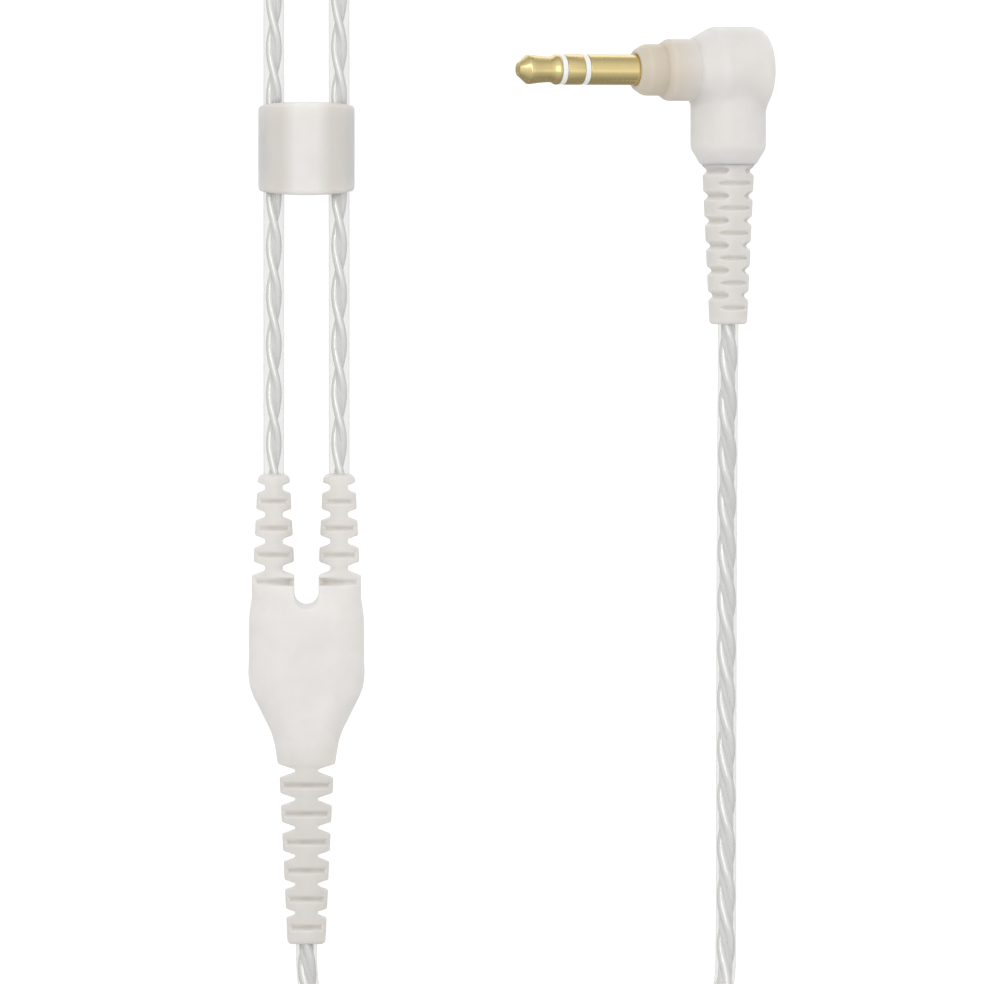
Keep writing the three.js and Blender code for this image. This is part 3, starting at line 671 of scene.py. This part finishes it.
def smooth_path(points, step=PATH_STEP):
    """Evenly spaced points on a centripetal Catmull-Rom curve through the given ones."""
    points = np.array(points, float)
    ends = [2 * points[0] - points[1]], [2 * points[-1] - points[-2]]
    p = np.concatenate([ends[0], points, ends[1]])
    knots = np.concatenate([[0], np.cumsum(np.sqrt(np.linalg.norm(np.diff(p, axis=0), axis=1)))])
    t = np.linspace(0, 1, 24, endpoint=False)[:, None]
    made = []
    for i in range(1, len(p) - 2):
        k = knots[i - 1:i + 3]
        span = k[2] - k[1]
        leave = (p[i] - p[i - 1]) / (k[1] - k[0]) - (p[i + 1] - p[i - 1]) / (k[2] - k[0])
        leave = (leave + (p[i + 1] - p[i]) / span) * span
        reach = (p[i + 2] - p[i + 1]) / (k[3] - k[2]) - (p[i + 2] - p[i]) / (k[3] - k[1])
        reach = (reach + (p[i + 1] - p[i]) / span) * span
        rise = (3 - 2 * t) * t * t
        made.append(p[i] * (1 - rise) + p[i + 1] * rise + t * (1 - t) ** 2 * leave + t * t * (t - 1) * reach)
    fine = np.concatenate([*made, points[-1:]])
    so_far = np.concatenate([[0], np.cumsum(np.linalg.norm(np.diff(fine, axis=0), axis=1))])
    places = np.linspace(0, so_far[-1], max(2, round(so_far[-1] / step)))
    return np.stack([np.interp(places, so_far, fine[:, k]) for k in range(3)], axis=1)


def length_of(path):
    return float(np.linalg.norm(np.diff(path, axis=0), axis=1).sum())


def normals_along(path):
    """Two directions across a path at each point, which turn as little as they can."""
    ahead = np.gradient(path, axis=0)
    ahead /= np.linalg.norm(ahead, axis=1)[:, None]
    first = UP if abs(ahead[0][2]) < 0.9 else X_WAY
    side = [first]
    for direction in ahead:
        across = side[-1] - direction * (side[-1] @ direction)
        side.append(across / np.linalg.norm(across))
    side = np.array(side[1:])
    return side, np.cross(ahead, side)


def sweep(path, radius, sides, first=0):
    """Points and faces of a round solid along a path."""
    side, up = normals_along(path)
    turn = np.linspace(0, 2 * math.pi, sides, endpoint=False)
    across = side[:, None] * np.cos(turn)[:, None] + up[:, None] * np.sin(turn)[:, None]
    radius = np.broadcast_to(radius, len(path))[:, None, None]
    points = (path[:, None] + radius * across).reshape(-1, 3)
    faces = grid_faces(len(path), sides, first=first)
    return points, faces + end_caps(first, first + (len(path) - 1) * sides, sides)


def twisted_cord(name, path, core, lay_start, stripped, stands_for):
    """A clear jacket over a core of strands and fillers that twist together, in one mesh. lay_start is how
    far along its twist, in mm, the core is at the path's start."""
    from_start, from_end = stripped
    points, faces = sweep(path[from_start:len(path) - from_end], CORD_R, JACKET_SIDES)
    parts, material_of = [points], [0] * len(faces)
    lay = [np.zeros((len(points), 3))]
    side, up = normals_along(path)
    so_far = np.arange(len(path)) * length_of(path) / (len(path) - 1)
    round_strand = np.linspace(0, 2 * math.pi, STRAND_SIDES, endpoint=False)[None]
    wire_turn = round_strand + so_far[:, None] * WIRE_TURN
    wire_along = np.repeat(so_far[:, None] * WIRE_ALONG, STRAND_SIDES, 1)
    wires = np.stack([np.cos(wire_turn) * WIRE_ACROSS, np.sin(wire_turn) * WIRE_ACROSS, wire_along], -1)
    for from_axis, share, radius, material in core:
        turn = 2 * math.pi * (share - (so_far + lay_start) / LAY_PITCH)
        centre = path + from_axis * (side * np.cos(turn)[:, None] + up * np.sin(turn)[:, None])
        points, more = sweep(centre, radius, STRAND_SIDES, first=sum(len(p) for p in parts))
        faces += more
        material_of += [material] * len(more)
        parts.append(points)
        lay.append(wires.reshape(-1, 3))
    made = make_piece(name, np.concatenate(parts), faces, [CLEAR_JACKET, STRAND, FILLER],
                      stands_for=stands_for, slot="clear_jacket")
    made.data.polygons.foreach_set("material_index", material_of)
    attribute = made.data.attributes.new("lay", "FLOAT_VECTOR", "POINT")
    attribute.data.foreach_set("vector", np.concatenate(lay).astype(np.float32).ravel())
    return made


# ---- Y splitter and chin slider

# Places along the splitter are measured from its middle, towards its legs.
LEG_X = 3.75
LEG_TOP, LEG_TAPER = 27.0, ([15.5, 26.4], [2.4, 1.86])  # a leg's radius at two places along it
LOWER_END, LOWER_TAPER = -27.0, ([-26.5, -7.5], [2.2, 3.1])
CROTCH_Y, CROTCH_R = 13.46, 1.4
# For the legs and the lower relief: first side notch, first face slot, pitch, how many of each.
LEG_CUTS = (25.41, 23.83, -3.08, 4)
LOWER_CUTS = (-7.1, -8.75, -3.265, 6)
SPLITTER_STATIONS = [  # along Y, half width, half depth, half width of the flat faces
    (-6.9, 3.2, 3.1, 0.1), (-5.33, 3.44, 3.2, 0.2), (-3.83, 3.71, 3.26, 0.4), (-2.46, 4.14, 3.3, 0.8),
    (-1.08, 4.82, 3.3, 1.3), (0.18, 5.44, 3.3, 1.8), (1.45, 6.08, 3.3, 2.3), (2.48, 6.46, 3.3, 2.6),
    (3.4, 6.62, 3.3, 2.7), (6.0, 6.62, 3.3, 2.7), (9.02, 6.62, 3.3, 2.7), (10.63, 6.57, 3.2, 2.7),
    (13.62, 6.17, 2.75, 2.6), (16.2, 6.06, 2.36, 2.6),
]


def cuts_near(along, cuts):
    """Distances along a relief from the nearest of its side notches and of its face slots."""
    first_notch, first_slot, pitch, count = cuts
    return nearest_of(along, first_notch, pitch, count), nearest_of(along, first_slot, pitch, count)


def splitter_distance(x, y, z):
    """The splitter's body and its three ribbed strain reliefs, about its middle."""
    places, widths, depths, flats = zip(*SPLITTER_STATIONS)
    width = through(y, places, widths)
    depth = through(y, places, depths)
    flat = through(y, places, flats)
    body = ellipse(np.maximum(np.abs(x) - flat, 0), z, width - flat, depth)
    body = soft_max(body, np.maximum(-6.6 - y, y - 15.7), 0.3)
    across = np.abs(x) - LEG_X
    from_leg, leg_r = np.hypot(across, z), np.interp(y, *LEG_TAPER)
    leg = soft_max(from_leg - leg_r, np.maximum(13 - y, y - LEG_TOP), 0.9)
    made = soft_min(body, leg, 0.5)
    lip = 0.6 * np.clip((np.abs(z) - 2.4) / 0.55, 0, 1)
    crotch = np.hypot(x, np.minimum(y - CROTCH_Y + lip, 0)) - CROTCH_R
    made = cut(made, crotch, 0.12)
    from_middle, lower_r = np.hypot(x, z), np.interp(y, *LOWER_TAPER)
    lower = soft_max(from_middle - lower_r, np.maximum(LOWER_END - y, y + 5.5), 0.6)
    made = soft_min(made, lower, 0.2)
    side, face = cuts_near(y, LEG_CUTS)
    made = cut(made, notch(np.abs(across), side, 1.0, 20, 0.26, 0.15), 0.1)
    leg_face = groove(np.abs(z), face, from_leg, 1.1, leg_r - 0.3, 0.36, 0.05)
    made = cut(made, soft_max(leg_face, np.abs(across) - 2.6, 0.1), 0.06)
    side, face = cuts_near(y, LOWER_CUTS)
    made = cut(made, notch(np.abs(x), side, 1.28, 18, 0.15, 0.1), 0.1)
    return cut(made, groove(np.abs(z), face, from_middle, 1.2, lower_r - 0.33, 0.38, 0.05), 0.06)


def build_splitter():
    middle = middle_mm("splitter_body") * [1, 0, 1]
    points, quads = moulded((-7.1, -27.5, -3.7), (7.1, 27.5, 3.7), 0.125, splitter_distance)
    pvc = milky_pvc("splitter_pvc", cords=(over_splitter_cords, CORD_SHADE))
    make_piece("splitter", points + middle, quads, [pvc], stands_for=["splitter_body"], slot="milky_pvc")


def slider_distance(x, y, z):
    """An oval band with crowned ends and a bore for each cord, about its middle."""
    half_width, half_depth, half_length, crown, bore_r = 5.53, 3.3, 5.36, 0.42, 1.32
    band = ellipse(x, z, half_width, half_depth)
    end = np.abs(y) - (half_length - crown * (x / half_width) ** 2)
    bore = np.hypot(np.abs(x) - LEG_X, z) - bore_r
    return cut(soft_max(band, end, 0.6), bore, 0.2)


def build_slider():
    points, quads = moulded((-6, -5.9, -3.7), (6, 5.9, 3.7), 0.12, slider_distance)
    pvc = milky_pvc("slider_pvc", cords=(over_slider_cords, SLIDER_SHADE))
    make_piece("chin_slider", points + middle_mm("slider"), quads, [pvc], body="slider",
               stands_for=["slider"], slot="milky_pvc")


# ---- right-angle plug

PLUG_TILT = math.radians(22)
# Places along the boot are measured from the pin's axis, and its cuts are as on the splitter.
BOOT_END, BOOT_TOP = -29.15, -10.6
BOOT_TAPER = ([-29.15, -10.9], [2.16, 3.0])
BOOT_CUTS = (-11.55, -12.98, -2.86, 6)


def plug_axes():
    """The plug's own axes: X away from the pin's tip, Y along the cord, Z out of the elbow's side."""
    x, _, z = middle_mm("plug_boot")
    y = middle_mm("plug_tip")[1]
    cos, sin = math.cos(PLUG_TILT), math.sin(PLUG_TILT)
    return Axes((x, y, z), (cos, 0, -sin), (0, 1, 0), (sin, 0, cos))


def housing_distance(x, y, z):
    """The elbow: a head across the cord, two collars towards the pin, and a barrel down to the boot."""
    round_pin = np.hypot(y, z)
    round_cord = np.hypot(x, z)
    pinward = -x
    head = cylinder(round_pin, pinward, 5.0, -4.4, 8.0, 1.9)
    head = soft_max(head, cone(round_pin, pinward, 5.0, 1.96, 3.76, 4.3), 0.25)
    made = soft_max(head, pinward - 4.4, 0.2)
    barrel = cylinder(round_cord, -y, 4.33, -1.0, 10.85, 0.15)
    barrel = soft_max(barrel, cone(round_cord, -y, 4.33, 8.94, 3.2, 10.85), 0.2)
    made = soft_min(made, barrel, 0.5)
    collar = cylinder(round_pin, pinward, 3.55, 0, 8.37, 0.1)
    collar = soft_max(collar, cone(round_pin, pinward, 3.55, 7.6, 3.05, 8.35), 0.12)
    made = soft_min(made, collar, 0.3)
    nose = cylinder(round_pin, pinward, 2.96, 0, 11.55, 0.15)
    nose = soft_max(nose, cone(round_pin, pinward, 2.96, 10.45, 2.3, 11.55), 0.15)
    made = soft_min(made, nose, 0.12)
    bore = cylinder(round_pin, pinward, 1.83, 10.2, 12.5, 0.05)
    return cut(made, bore, 0.1)


def boot_distance(x, y, z):
    """The tapered relief below the elbow, with its side notches and its face slots."""
    radial, radius = np.hypot(x, z), np.interp(y, *BOOT_TAPER)
    made = soft_max(radial - radius, BOOT_END - y, 0.5)
    made = soft_max(made, y - BOOT_TOP, 0.06)
    side, face = cuts_near(y, BOOT_CUTS)
    made = cut(made, groove(np.abs(x), side, radial, 0.34 * radius, radius - 0.5, 0.12, 0.6), 0.06)
    return cut(made, groove(np.abs(z), face, radial, 0.67 * radius, radius - 0.3, 0.06, 0.42), 0.06)


def build_plug():
    axes = plug_axes()
    pinward = -axes.turn[0]
    shape = moulded((-12, -11.3, -5.4), (4.8, 5.4, 5.4), 0.11, housing_distance)
    pvc = milky_pvc("elbow_pvc", warm=(axes.origin, pinward, 3.8, 8.6), darker=0.12)
    make_piece("elbow", *place(axes, shape), [pvc], stands_for=["plug_housing"], slot="milky_pvc")
    shape = moulded((-3.3, -29.6, -3.3), (3.3, -10.5, 3.3), 0.085, boot_distance)
    pvc = milky_pvc("boot_pvc", darker=0.4)
    make_piece("boot", *place(axes, shape), [pvc], stands_for=["plug_boot"], slot="milky_pvc")
    gold = gold_plate("pin_gold", axes.origin, pinward)
    white = plastic("pin_insulator", (0.95, 0.94, 0.91), 0.35)
    pin = Axes(axes.origin, axes.turn[2], axes.turn[1], pinward)
    profiles = [
        ("pin_tip", "plug_tip", gold, [
            (0, -1.2), (0.55, -1.2), (0.55, 21.08), (1.7, 21.08), (1.75, 21.2), (1.75, 21.45), (1.5, 21.9),
            (1.47, 22.3), (1.55, 23.4), (1.69, 24.5), (1.69, 24.9), (0.75, 26.05), (0.3, 26.2), (0, 26.2),
        ]),
        ("pin_front_ring", "plug_front_insulator", white, [
            (0.6, -0.3), (0.85, -0.3), (0.85, 20.41), (1.72, 20.41), (1.72, 21.04), (0.6, 21.04),
        ]),
        ("pin_ring_contact", "plug_ring_contact", gold, [
            (0.9, 0.15), (1.12, 0.15), (1.12, 18.26), (1.75, 18.26), (1.75, 20.37), (0.9, 20.37),
        ]),
        ("pin_rear_ring", "plug_rear_insulator", white, [
            (1.17, 0.8), (1.36, 0.8), (1.36, 17.58), (1.72, 17.58), (1.72, 18.22), (1.17, 18.22),
        ]),
        ("pin_sleeve", "plug_sleeve", gold, [
            (1.42, 1.7), (2.32, 1.7), (2.32, 9.6), (1.75, 9.7), (1.75, 17.54), (1.42, 17.54),
        ]),
    ]
    for name, node, material, profile in profiles:
        shape = lathe(profile, 0.07, sides=72, steps=3)
        keep_flats_flat(make_piece(name, *place(pin, shape), [material], stands_for=[node],
                                   slot="gold_plate" if material is gold else "white_plastic"))


# ---- ties and ear guides


def build_tie(node, inward):
    """A strap round a coil's bundle of turns, its end lapped over its start. inward points to the coil's
    middle."""
    low, high = box_mm(node)
    middle = (low + high) / 2
    wall, width, lap, corner = 0.5, 4.0, 5.0, 1.0
    half_reach = abs(np.dot(high - low, inward)) / 2 - wall / 2
    half_height = (high[2] - low[2]) / 2 - wall / 2
    outline = eased([(half_reach, half_height), (-half_reach, half_height), (-half_reach, -half_height),
                     (half_reach, -half_height)], corner, closed=True, steps=6)
    start = np.argmin(np.hypot(outline[:, 0] - half_reach, outline[:, 1] - half_height))
    outline = np.roll(outline, -start, axis=0)
    loop = np.concatenate([outline, outline[:1]])
    so_far = np.concatenate([[0], np.cumsum(np.hypot(*np.diff(loop, axis=0).T))])
    places = np.linspace(0, so_far[-1] + lap, 140)
    around = np.stack([np.interp(places % so_far[-1], so_far, loop[:, k]) for k in range(2)], axis=1)
    lift = 1.02 * wall * np.clip((places - so_far[-1] + 1.5) / 1.5, 0, 1)
    ahead = np.gradient(around, axis=0)
    outward = np.stack([-ahead[:, 1], ahead[:, 0]], axis=1) / np.linalg.norm(ahead, axis=1)[:, None]
    around = around + outward * lift[:, None]
    section = eased([(wall / 2, -width / 2), (wall / 2, width / 2), (-wall / 2, width / 2),
                     (-wall / 2, -width / 2)], 0.18, closed=True, steps=2)
    across = np.cross(UP, inward)
    rings = []
    for at, out in zip(around, outward):
        for depth, side in section:
            p = at + out * depth
            rings.append(middle + inward * p[0] + UP * p[1] + across * side)
    sides = len(section)
    faces = grid_faces(len(around), sides) + end_caps(0, (len(around) - 1) * sides, sides)
    keep_flats_flat(make_piece(node + "_strap", rings, faces, [STRAP], stands_for=[node], slot="tie_strap"))


def build_guide(side, path):
    """The clear sheath that keeps the end of the cord hooked over the ear."""
    past_coil = np.arange(len(path)) > len(path) * 0.7
    route = path[np.argmax((path[:, 1] > GUIDE_START_Y) & past_coil):]
    so_far = np.arange(len(route)) * PATH_STEP
    left = so_far[-1] - so_far
    radius = 1.5 - 0.22 * np.clip(1 - so_far / 1.6, 0, 1) ** 2 - 0.12 * np.clip(1 - left / 0.8, 0, 1) ** 2
    points, faces = sweep(route, radius, 24)
    make_piece("ear_guide_sheath_" + side, points, faces, [CLEAR_SHEATH], stands_for=["ear_guide_" + side],
               slot="clear_jacket")


# ---- earpieces

SHELL_OUTLINE = [
    (-3.2, -0.1), (0, 0), (3.2, -0.1), (6.6, -1.9), (8.0, -6), (7.9, -11), (6.2, -16), (2.6, -19.6),
    (-2.0, -20.2), (-5.6, -17.4), (-6.6, -12.6), (-6.4, -7.4), (-5.9, -2.6),
]
SHELL_SIDES = 96
SHELL_MIDDLE = np.array([0.7, -10.2, 0.0])
NOZZLE_ROOT = np.array([0.8, -12.4, 5.6])
NOZZLE_TILT = math.radians(20)
DRIVER_MIDDLE = (0.7, -12.0, 0.0)


def shell_outline():
    """A closed curve through the outline's points, evenly spaced."""
    points = [(x, y, 0.0) for x, y in SHELL_OUTLINE]
    lapped = smooth_path(points[-3:] + points + points[:3], 0.05)
    start = np.argmin(np.linalg.norm(lapped[:len(lapped) // 3] - points[0], axis=1))
    end = len(lapped) // 2 + np.argmin(np.linalg.norm(lapped[len(lapped) // 2:] - points[0], axis=1))
    places = np.linspace(start, end, SHELL_SIDES, endpoint=False).round().astype(int)
    return lapped[places]


def shell_ring(outline, scale, z):
    return SHELL_MIDDLE + (outline - SHELL_MIDDLE) * scale + UP * z


def nozzle_ring(outline, radius, along):
    tip = np.array([0, -math.sin(NOZZLE_TILT), math.cos(NOZZLE_TILT)])
    up = np.array([0, math.cos(NOZZLE_TILT), math.sin(NOZZLE_TILT)])
    turn = np.arctan2(outline[:, 1] - SHELL_MIDDLE[1], outline[:, 0] - SHELL_MIDDLE[0])
    ring = NOZZLE_ROOT + tip * along + radius * np.sin(turn)[:, None] * up
    ring[:, 0] += radius * np.cos(turn)
    return ring


def shell_rings(outline, profile):
    """Rings of an eased profile of (scale, z)."""
    reach = 8.0  # about the outline's radius, so that the easing is round
    rounded = eased([(scale * reach, z) for scale, z in profile], 0.7, steps=4)
    return [shell_ring(outline, r / reach, z) for r, z in rounded]


def outer_shell(outline):
    rings = shell_rings(outline, [
        (0.4, -5.4), (0.74, -5.4), (0.9, -4.9), (0.98, -3.5), (1, -1.8), (1, -0.6), (1, -0.1), (0.9, -0.1),
        (0.88, -0.6), (0.87, -2.6), (0.78, -4.0), (0.6, -4.4), (0.3, -4.4),
    ])
    points = np.concatenate([*rings, [SHELL_MIDDLE + UP * -5.4, SHELL_MIDDLE + UP * -4.4]])
    last = (len(rings) - 1) * SHELL_SIDES
    fans = end_fans(len(points) - 2, len(points) - 1, last, SHELL_SIDES)
    return points, grid_faces(len(rings), SHELL_SIDES) + fans


def inner_shell(outline):
    """The ear side: a neck that flows from the rim's outline to the nozzle's round seat, and back inside."""
    rim = shell_rings(outline, [(0.96, 0.1), (1, 0.1), (1, 0.6), (0.99, 1.8), (0.95, 2.8)])
    seat = nozzle_ring(outline, 4.1, 0)
    outside = [rim[-1] * (1 - t) + seat * t for t in np.linspace(0, 1, 12)[1:]]
    for k, t in enumerate(np.linspace(0, 1, 12)[1:-1]):
        outside[k] = outside[k] + UP * 1.1 * math.sin(math.pi * t) ** 1.2
    bore = [nozzle_ring(outline, r, a) for r, a in ((3.9, 0.12), (1.9, 0.12), (1.9, -0.9), (2.95, -0.9))]
    shoulder = shell_ring(outline, 0.82, 2.4)
    inside = [bore[-1] * (1 - t) + shoulder * t for t in np.linspace(0, 1, 8)[1:]]
    for k, t in enumerate(np.linspace(0, 1, 8)[1:-1]):
        inside[k] = inside[k] + UP * 0.8 * math.sin(math.pi * t)
    lining = [shell_ring(outline, scale, z) for scale, z in ((0.87, 1.4), (0.88, 0.6), (0.9, 0.1))]
    rings = [*rim, *outside, *bore, *inside, *lining]
    return np.concatenate(rings), grid_faces(len(rings), SHELL_SIDES, closed=True)


def bored(piece, axes, radius, start, end):
    """Cuts a round hole along the axes' Z through a piece."""
    points, faces = place(axes, turned([(0, start), (radius, start), (radius, end), (0, end)], sides=48))
    mesh = bpy.data.meshes.new("drill")
    mesh.from_pydata((points * MM).tolist(), [], faces)
    drill = bpy.data.objects.new("drill", mesh)
    bpy.context.scene.collection.objects.link(drill)
    hole = piece.modifiers.new("hole", "BOOLEAN")
    hole.operation = "DIFFERENCE"
    hole.solver = "EXACT"
    hole.object = drill
    graph = bpy.context.evaluated_depsgraph_get()
    done = bpy.data.meshes.new_from_object(piece.evaluated_get(graph))
    piece.modifiers.remove(hole)
    piece.data = done
    bpy.data.objects.remove(drill)


def ribbed_grip():
    """The connector's body, with the ridges that fingers pull it by."""
    profile = [(0, 0.5), (2.2, 0.5), (2.4, 0.7), (2.4, 1.2)]
    for k in range(5):
        at = 1.2 + 0.62 * k
        profile += [(2.4, at + 0.12), (2.22, at + 0.2), (2.22, at + 0.42), (2.4, at + 0.5)]
    return profile + [(2.4, 4.6), (2.2, 4.8), (2.1, 7.6), (1.9, 8.8), (0, 8.8)]


def build_earpiece(side, mirror):
    """An earpiece and its connector, about the connector's centre. mirror is -1 for the left one."""
    origin = swivel_mm(side)
    body = "earpiece_" + side
    shell_axes = Axes(origin, (mirror, 0, 0), (0, 1, 0), (0, 0, 1))
    along = Axes(origin, (0, 0, 1), (1, 0, 0), (0, 1, 0))
    outline = shell_outline()
    for name, node, shape in (
        ("faceplate_shell_", "outer_shell_", outer_shell(outline)),
        ("ear_shell_", "inner_shell_", inner_shell(outline)),
    ):
        made = make_piece(name + side, *place(shell_axes, shape), [CLEAR_SHELL], body=body,
                          stands_for=[node + side], slot="clear_shell", crease=50)
        bored(made, along, 2.75, -6.2, 3)
    root = shell_axes.points([NOZZLE_ROOT])[0]
    tip = np.array([0, -math.sin(NOZZLE_TILT), math.cos(NOZZLE_TILT)])
    nozzle = Axes(root, (1, 0, 0), np.cross(tip, (1, 0, 0)), tip)
    driver_root = shell_axes.points([DRIVER_MIDDLE])[0]
    driver = Axes(driver_root, (1, 0, 0), (0, 1, 0), (0, 0, 1))
    screen = mesh_screen(root, tip, X_WAY)
    lathes = [
        ("sound_nozzle_", "nozzle_", body, nozzle, STEEL, "steel", 0.15, [
            (1.75, 0.3), (3.9, 0.3), (3.7, 1.1), (2.6, 1.9), (2.45, 6.6), (2.7, 6.9), (2.6, 7.5), (1.75, 7.5),
        ]),
        ("nozzle_screen_", "nozzle_filter_", body, nozzle, screen, "steel", 0.05, [
            (0, 6.9), (1.65, 6.9), (1.65, 7.2), (0.8, 7.27), (0, 7.3),
        ]),
        ("silicone_tip_", "ear_tip_", "tip_" + side, nozzle, SILICONE, "silicone", 0.8, [
            (2.8, 2.4), (3.4, 2.4), (3.5, 6.2), (4.6, 6.0), (5.3, 3.4), (5.75, 2.2), (6.1, 2.3), (6.0, 4.2),
            (5.4, 6.6), (4.2, 8.3), (3.0, 9.0), (2.2, 8.9), (2.0, 8.3), (2.8, 7.8),
        ]),
        ("motor_cup_", "driver_motor_", body, driver, STEEL, "steel", 0.12, [
            (0, -3.5), (0.5, -3.5), (0.5, -4.0), (3.2, -4.0), (3.4, -3.8), (3.4, -2.4), (4.9, -2.2),
            (4.9, -0.6), (0, -0.6),
        ]),
        ("driver_face_", "driver_front_", body, driver, COPPER, "copper", 0.12, [
            (0, -0.3), (4.9, -0.3), (4.9, 0.5), (4.4, 0.9), (3.6, 0.95), (3.5, 0.75), (3.2, 0.75),
            (3.1, 0.95), (2.4, 1.0), (1.2, 1.15), (0, 1.2),
        ]),
        ("socket_ring_", "socket_", body, along, GOLD, "gold_plate", 0.12, [
            (1.9, -5.9), (2.6, -5.9), (2.6, -4.2), (2.45, -4.0), (2.45, -3.4), (2.6, -3.2), (2.6, -0.5),
            (1.9, -0.5),
        ]),
        ("connector_nose_turned_", "connector_nose_", "root", along, GOLD, "gold_plate", 0.08, [
            (0.9, -4.6), (1.5, -4.6), (1.6, -4.4), (1.6, -3.0), (1.3, -3.0), (1.3, -2.5), (1.6, -2.5),
            (1.6, 0.2), (0.9, 0.2),
        ]),
        ("connector_pin_", "connector_contact_", "root", along, GOLD, "gold_plate", 0.1, [
            (0, -4.9), (0.28, -4.9), (0.4, -4.7), (0.4, 0.1), (0, 0.1),
        ]),
        ("snap_spring_", "snap_ring_", "snap_ring_" + side, along, STEEL, "steel", 0.1, [
            (1.35, -2.9), (1.75, -2.9), (1.75, -2.6), (1.35, -2.6),
        ]),
        ("connector_grip_", "connector_body_", "root", along, MILKY_GRIP, "clear_shell", 0.08,
         ribbed_grip()),
    ]
    for name, node, rides, axes, material, finish, ease, profile in lathes:
        shape = lathe(profile, ease)
        made = make_piece(name + side, *place(axes, shape), [material], body=rides,
                          stands_for=[node + side], slot=finish)
        keep_flats_flat(made)


def finish_inner_nodes():
    """Better materials for the CAD pieces that stay as they are, inside the splitter and the plug."""
    for name, node in frame["nodes"].items():
        if node.hide_render:
            continue
        material = COPPER if "lug" in name or "wire" in name else INNER_PLASTIC
        node.data.materials.clear()
        node.data.materials.append(material)


CLEAR_JACKET = clear_plastic("clear_jacket", (0.885, 0.885, 0.88), (0.86, 0.86, 0.85), edge=0.4)
CLEAR_SHEATH = clear_plastic("clear_sheath", (0.95, 0.95, 0.945), (0.70, 0.70, 0.69), edge=0.5)
CLEAR_SHELL = clear_plastic("clear_shell", (0.94, 0.945, 0.95), (0.72, 0.73, 0.74), edge=0.55, centre=0.07)
STRAND = strand_metal()
FILLER = plastic("cord_filler", (0.84, 0.837, 0.83), 0.5)
STEEL = metal("satin_steel", (0.60, 0.61, 0.62), 0.22, 0.36, 0.2)
COPPER = metal("satin_copper", (0.72, 0.46, 0.30), 0.25, 0.4, 0.2)
GOLD = metal("contact_gold", (0.76, 0.58, 0.28), 0.2, 0.3, 0.15)
SILICONE = silicone()
STRAP = woven_strap()
MILKY_GRIP = milky_pvc("grip_pvc")
INNER_PLASTIC = plastic("inner_plastic", (0.82, 0.82, 0.80), 0.45)

build_camera()
build_studio()

left_path = smooth_path(np.concatenate([
    route_mm("left_start"),
    coil_points("coil_left", rows=2, layers=2, start=270, turns=3.25, way=1),
    route_mm("left_end"),
    ear_hook("left"),
]))
right_path = smooth_path(np.concatenate([
    route_mm("right_start"),
    coil_points("coil_right", rows=2, layers=2, start=180, turns=3, way=-1),
    route_mm("right_end"),
    ear_hook("right"),
]))
main_path = smooth_path(np.concatenate([
    route_mm("main_start"),
    coil_points("coil_main", rows=3, layers=4, start=180, turns=11.5, way=1),
    route_mm("main_end"),
]))
left_nodes = ["cord_left", "coil_left", "cord_left_end"]
right_nodes = ["cord_right", "coil_right", "cord_right_end"]
main_nodes = ["cord_main_start", "coil_main", "cord_main_end"]
cord_left = twisted_cord("left_cord", left_path, UPPER_CORE, 0.02, UPPER_STRIPPED, left_nodes)
cord_right = twisted_cord("right_cord", right_path, UPPER_CORE, -0.15, UPPER_STRIPPED, right_nodes)
cord_main = twisted_cord("main_cord", main_path, MAIN_CORE, -0.5, MAIN_STRIPPED, main_nodes)
build_splitter()
build_slider()
build_plug()
build_tie("coil_tie_main", Y_WAY)
build_tie("coil_tie_left", -Y_WAY)
build_tie("coil_tie_right", -Y_WAY)
build_guide("left", left_path)
build_guide("right", right_path)
build_earpiece("left", -1)
build_earpiece("right", 1)
finish_inner_nodes()
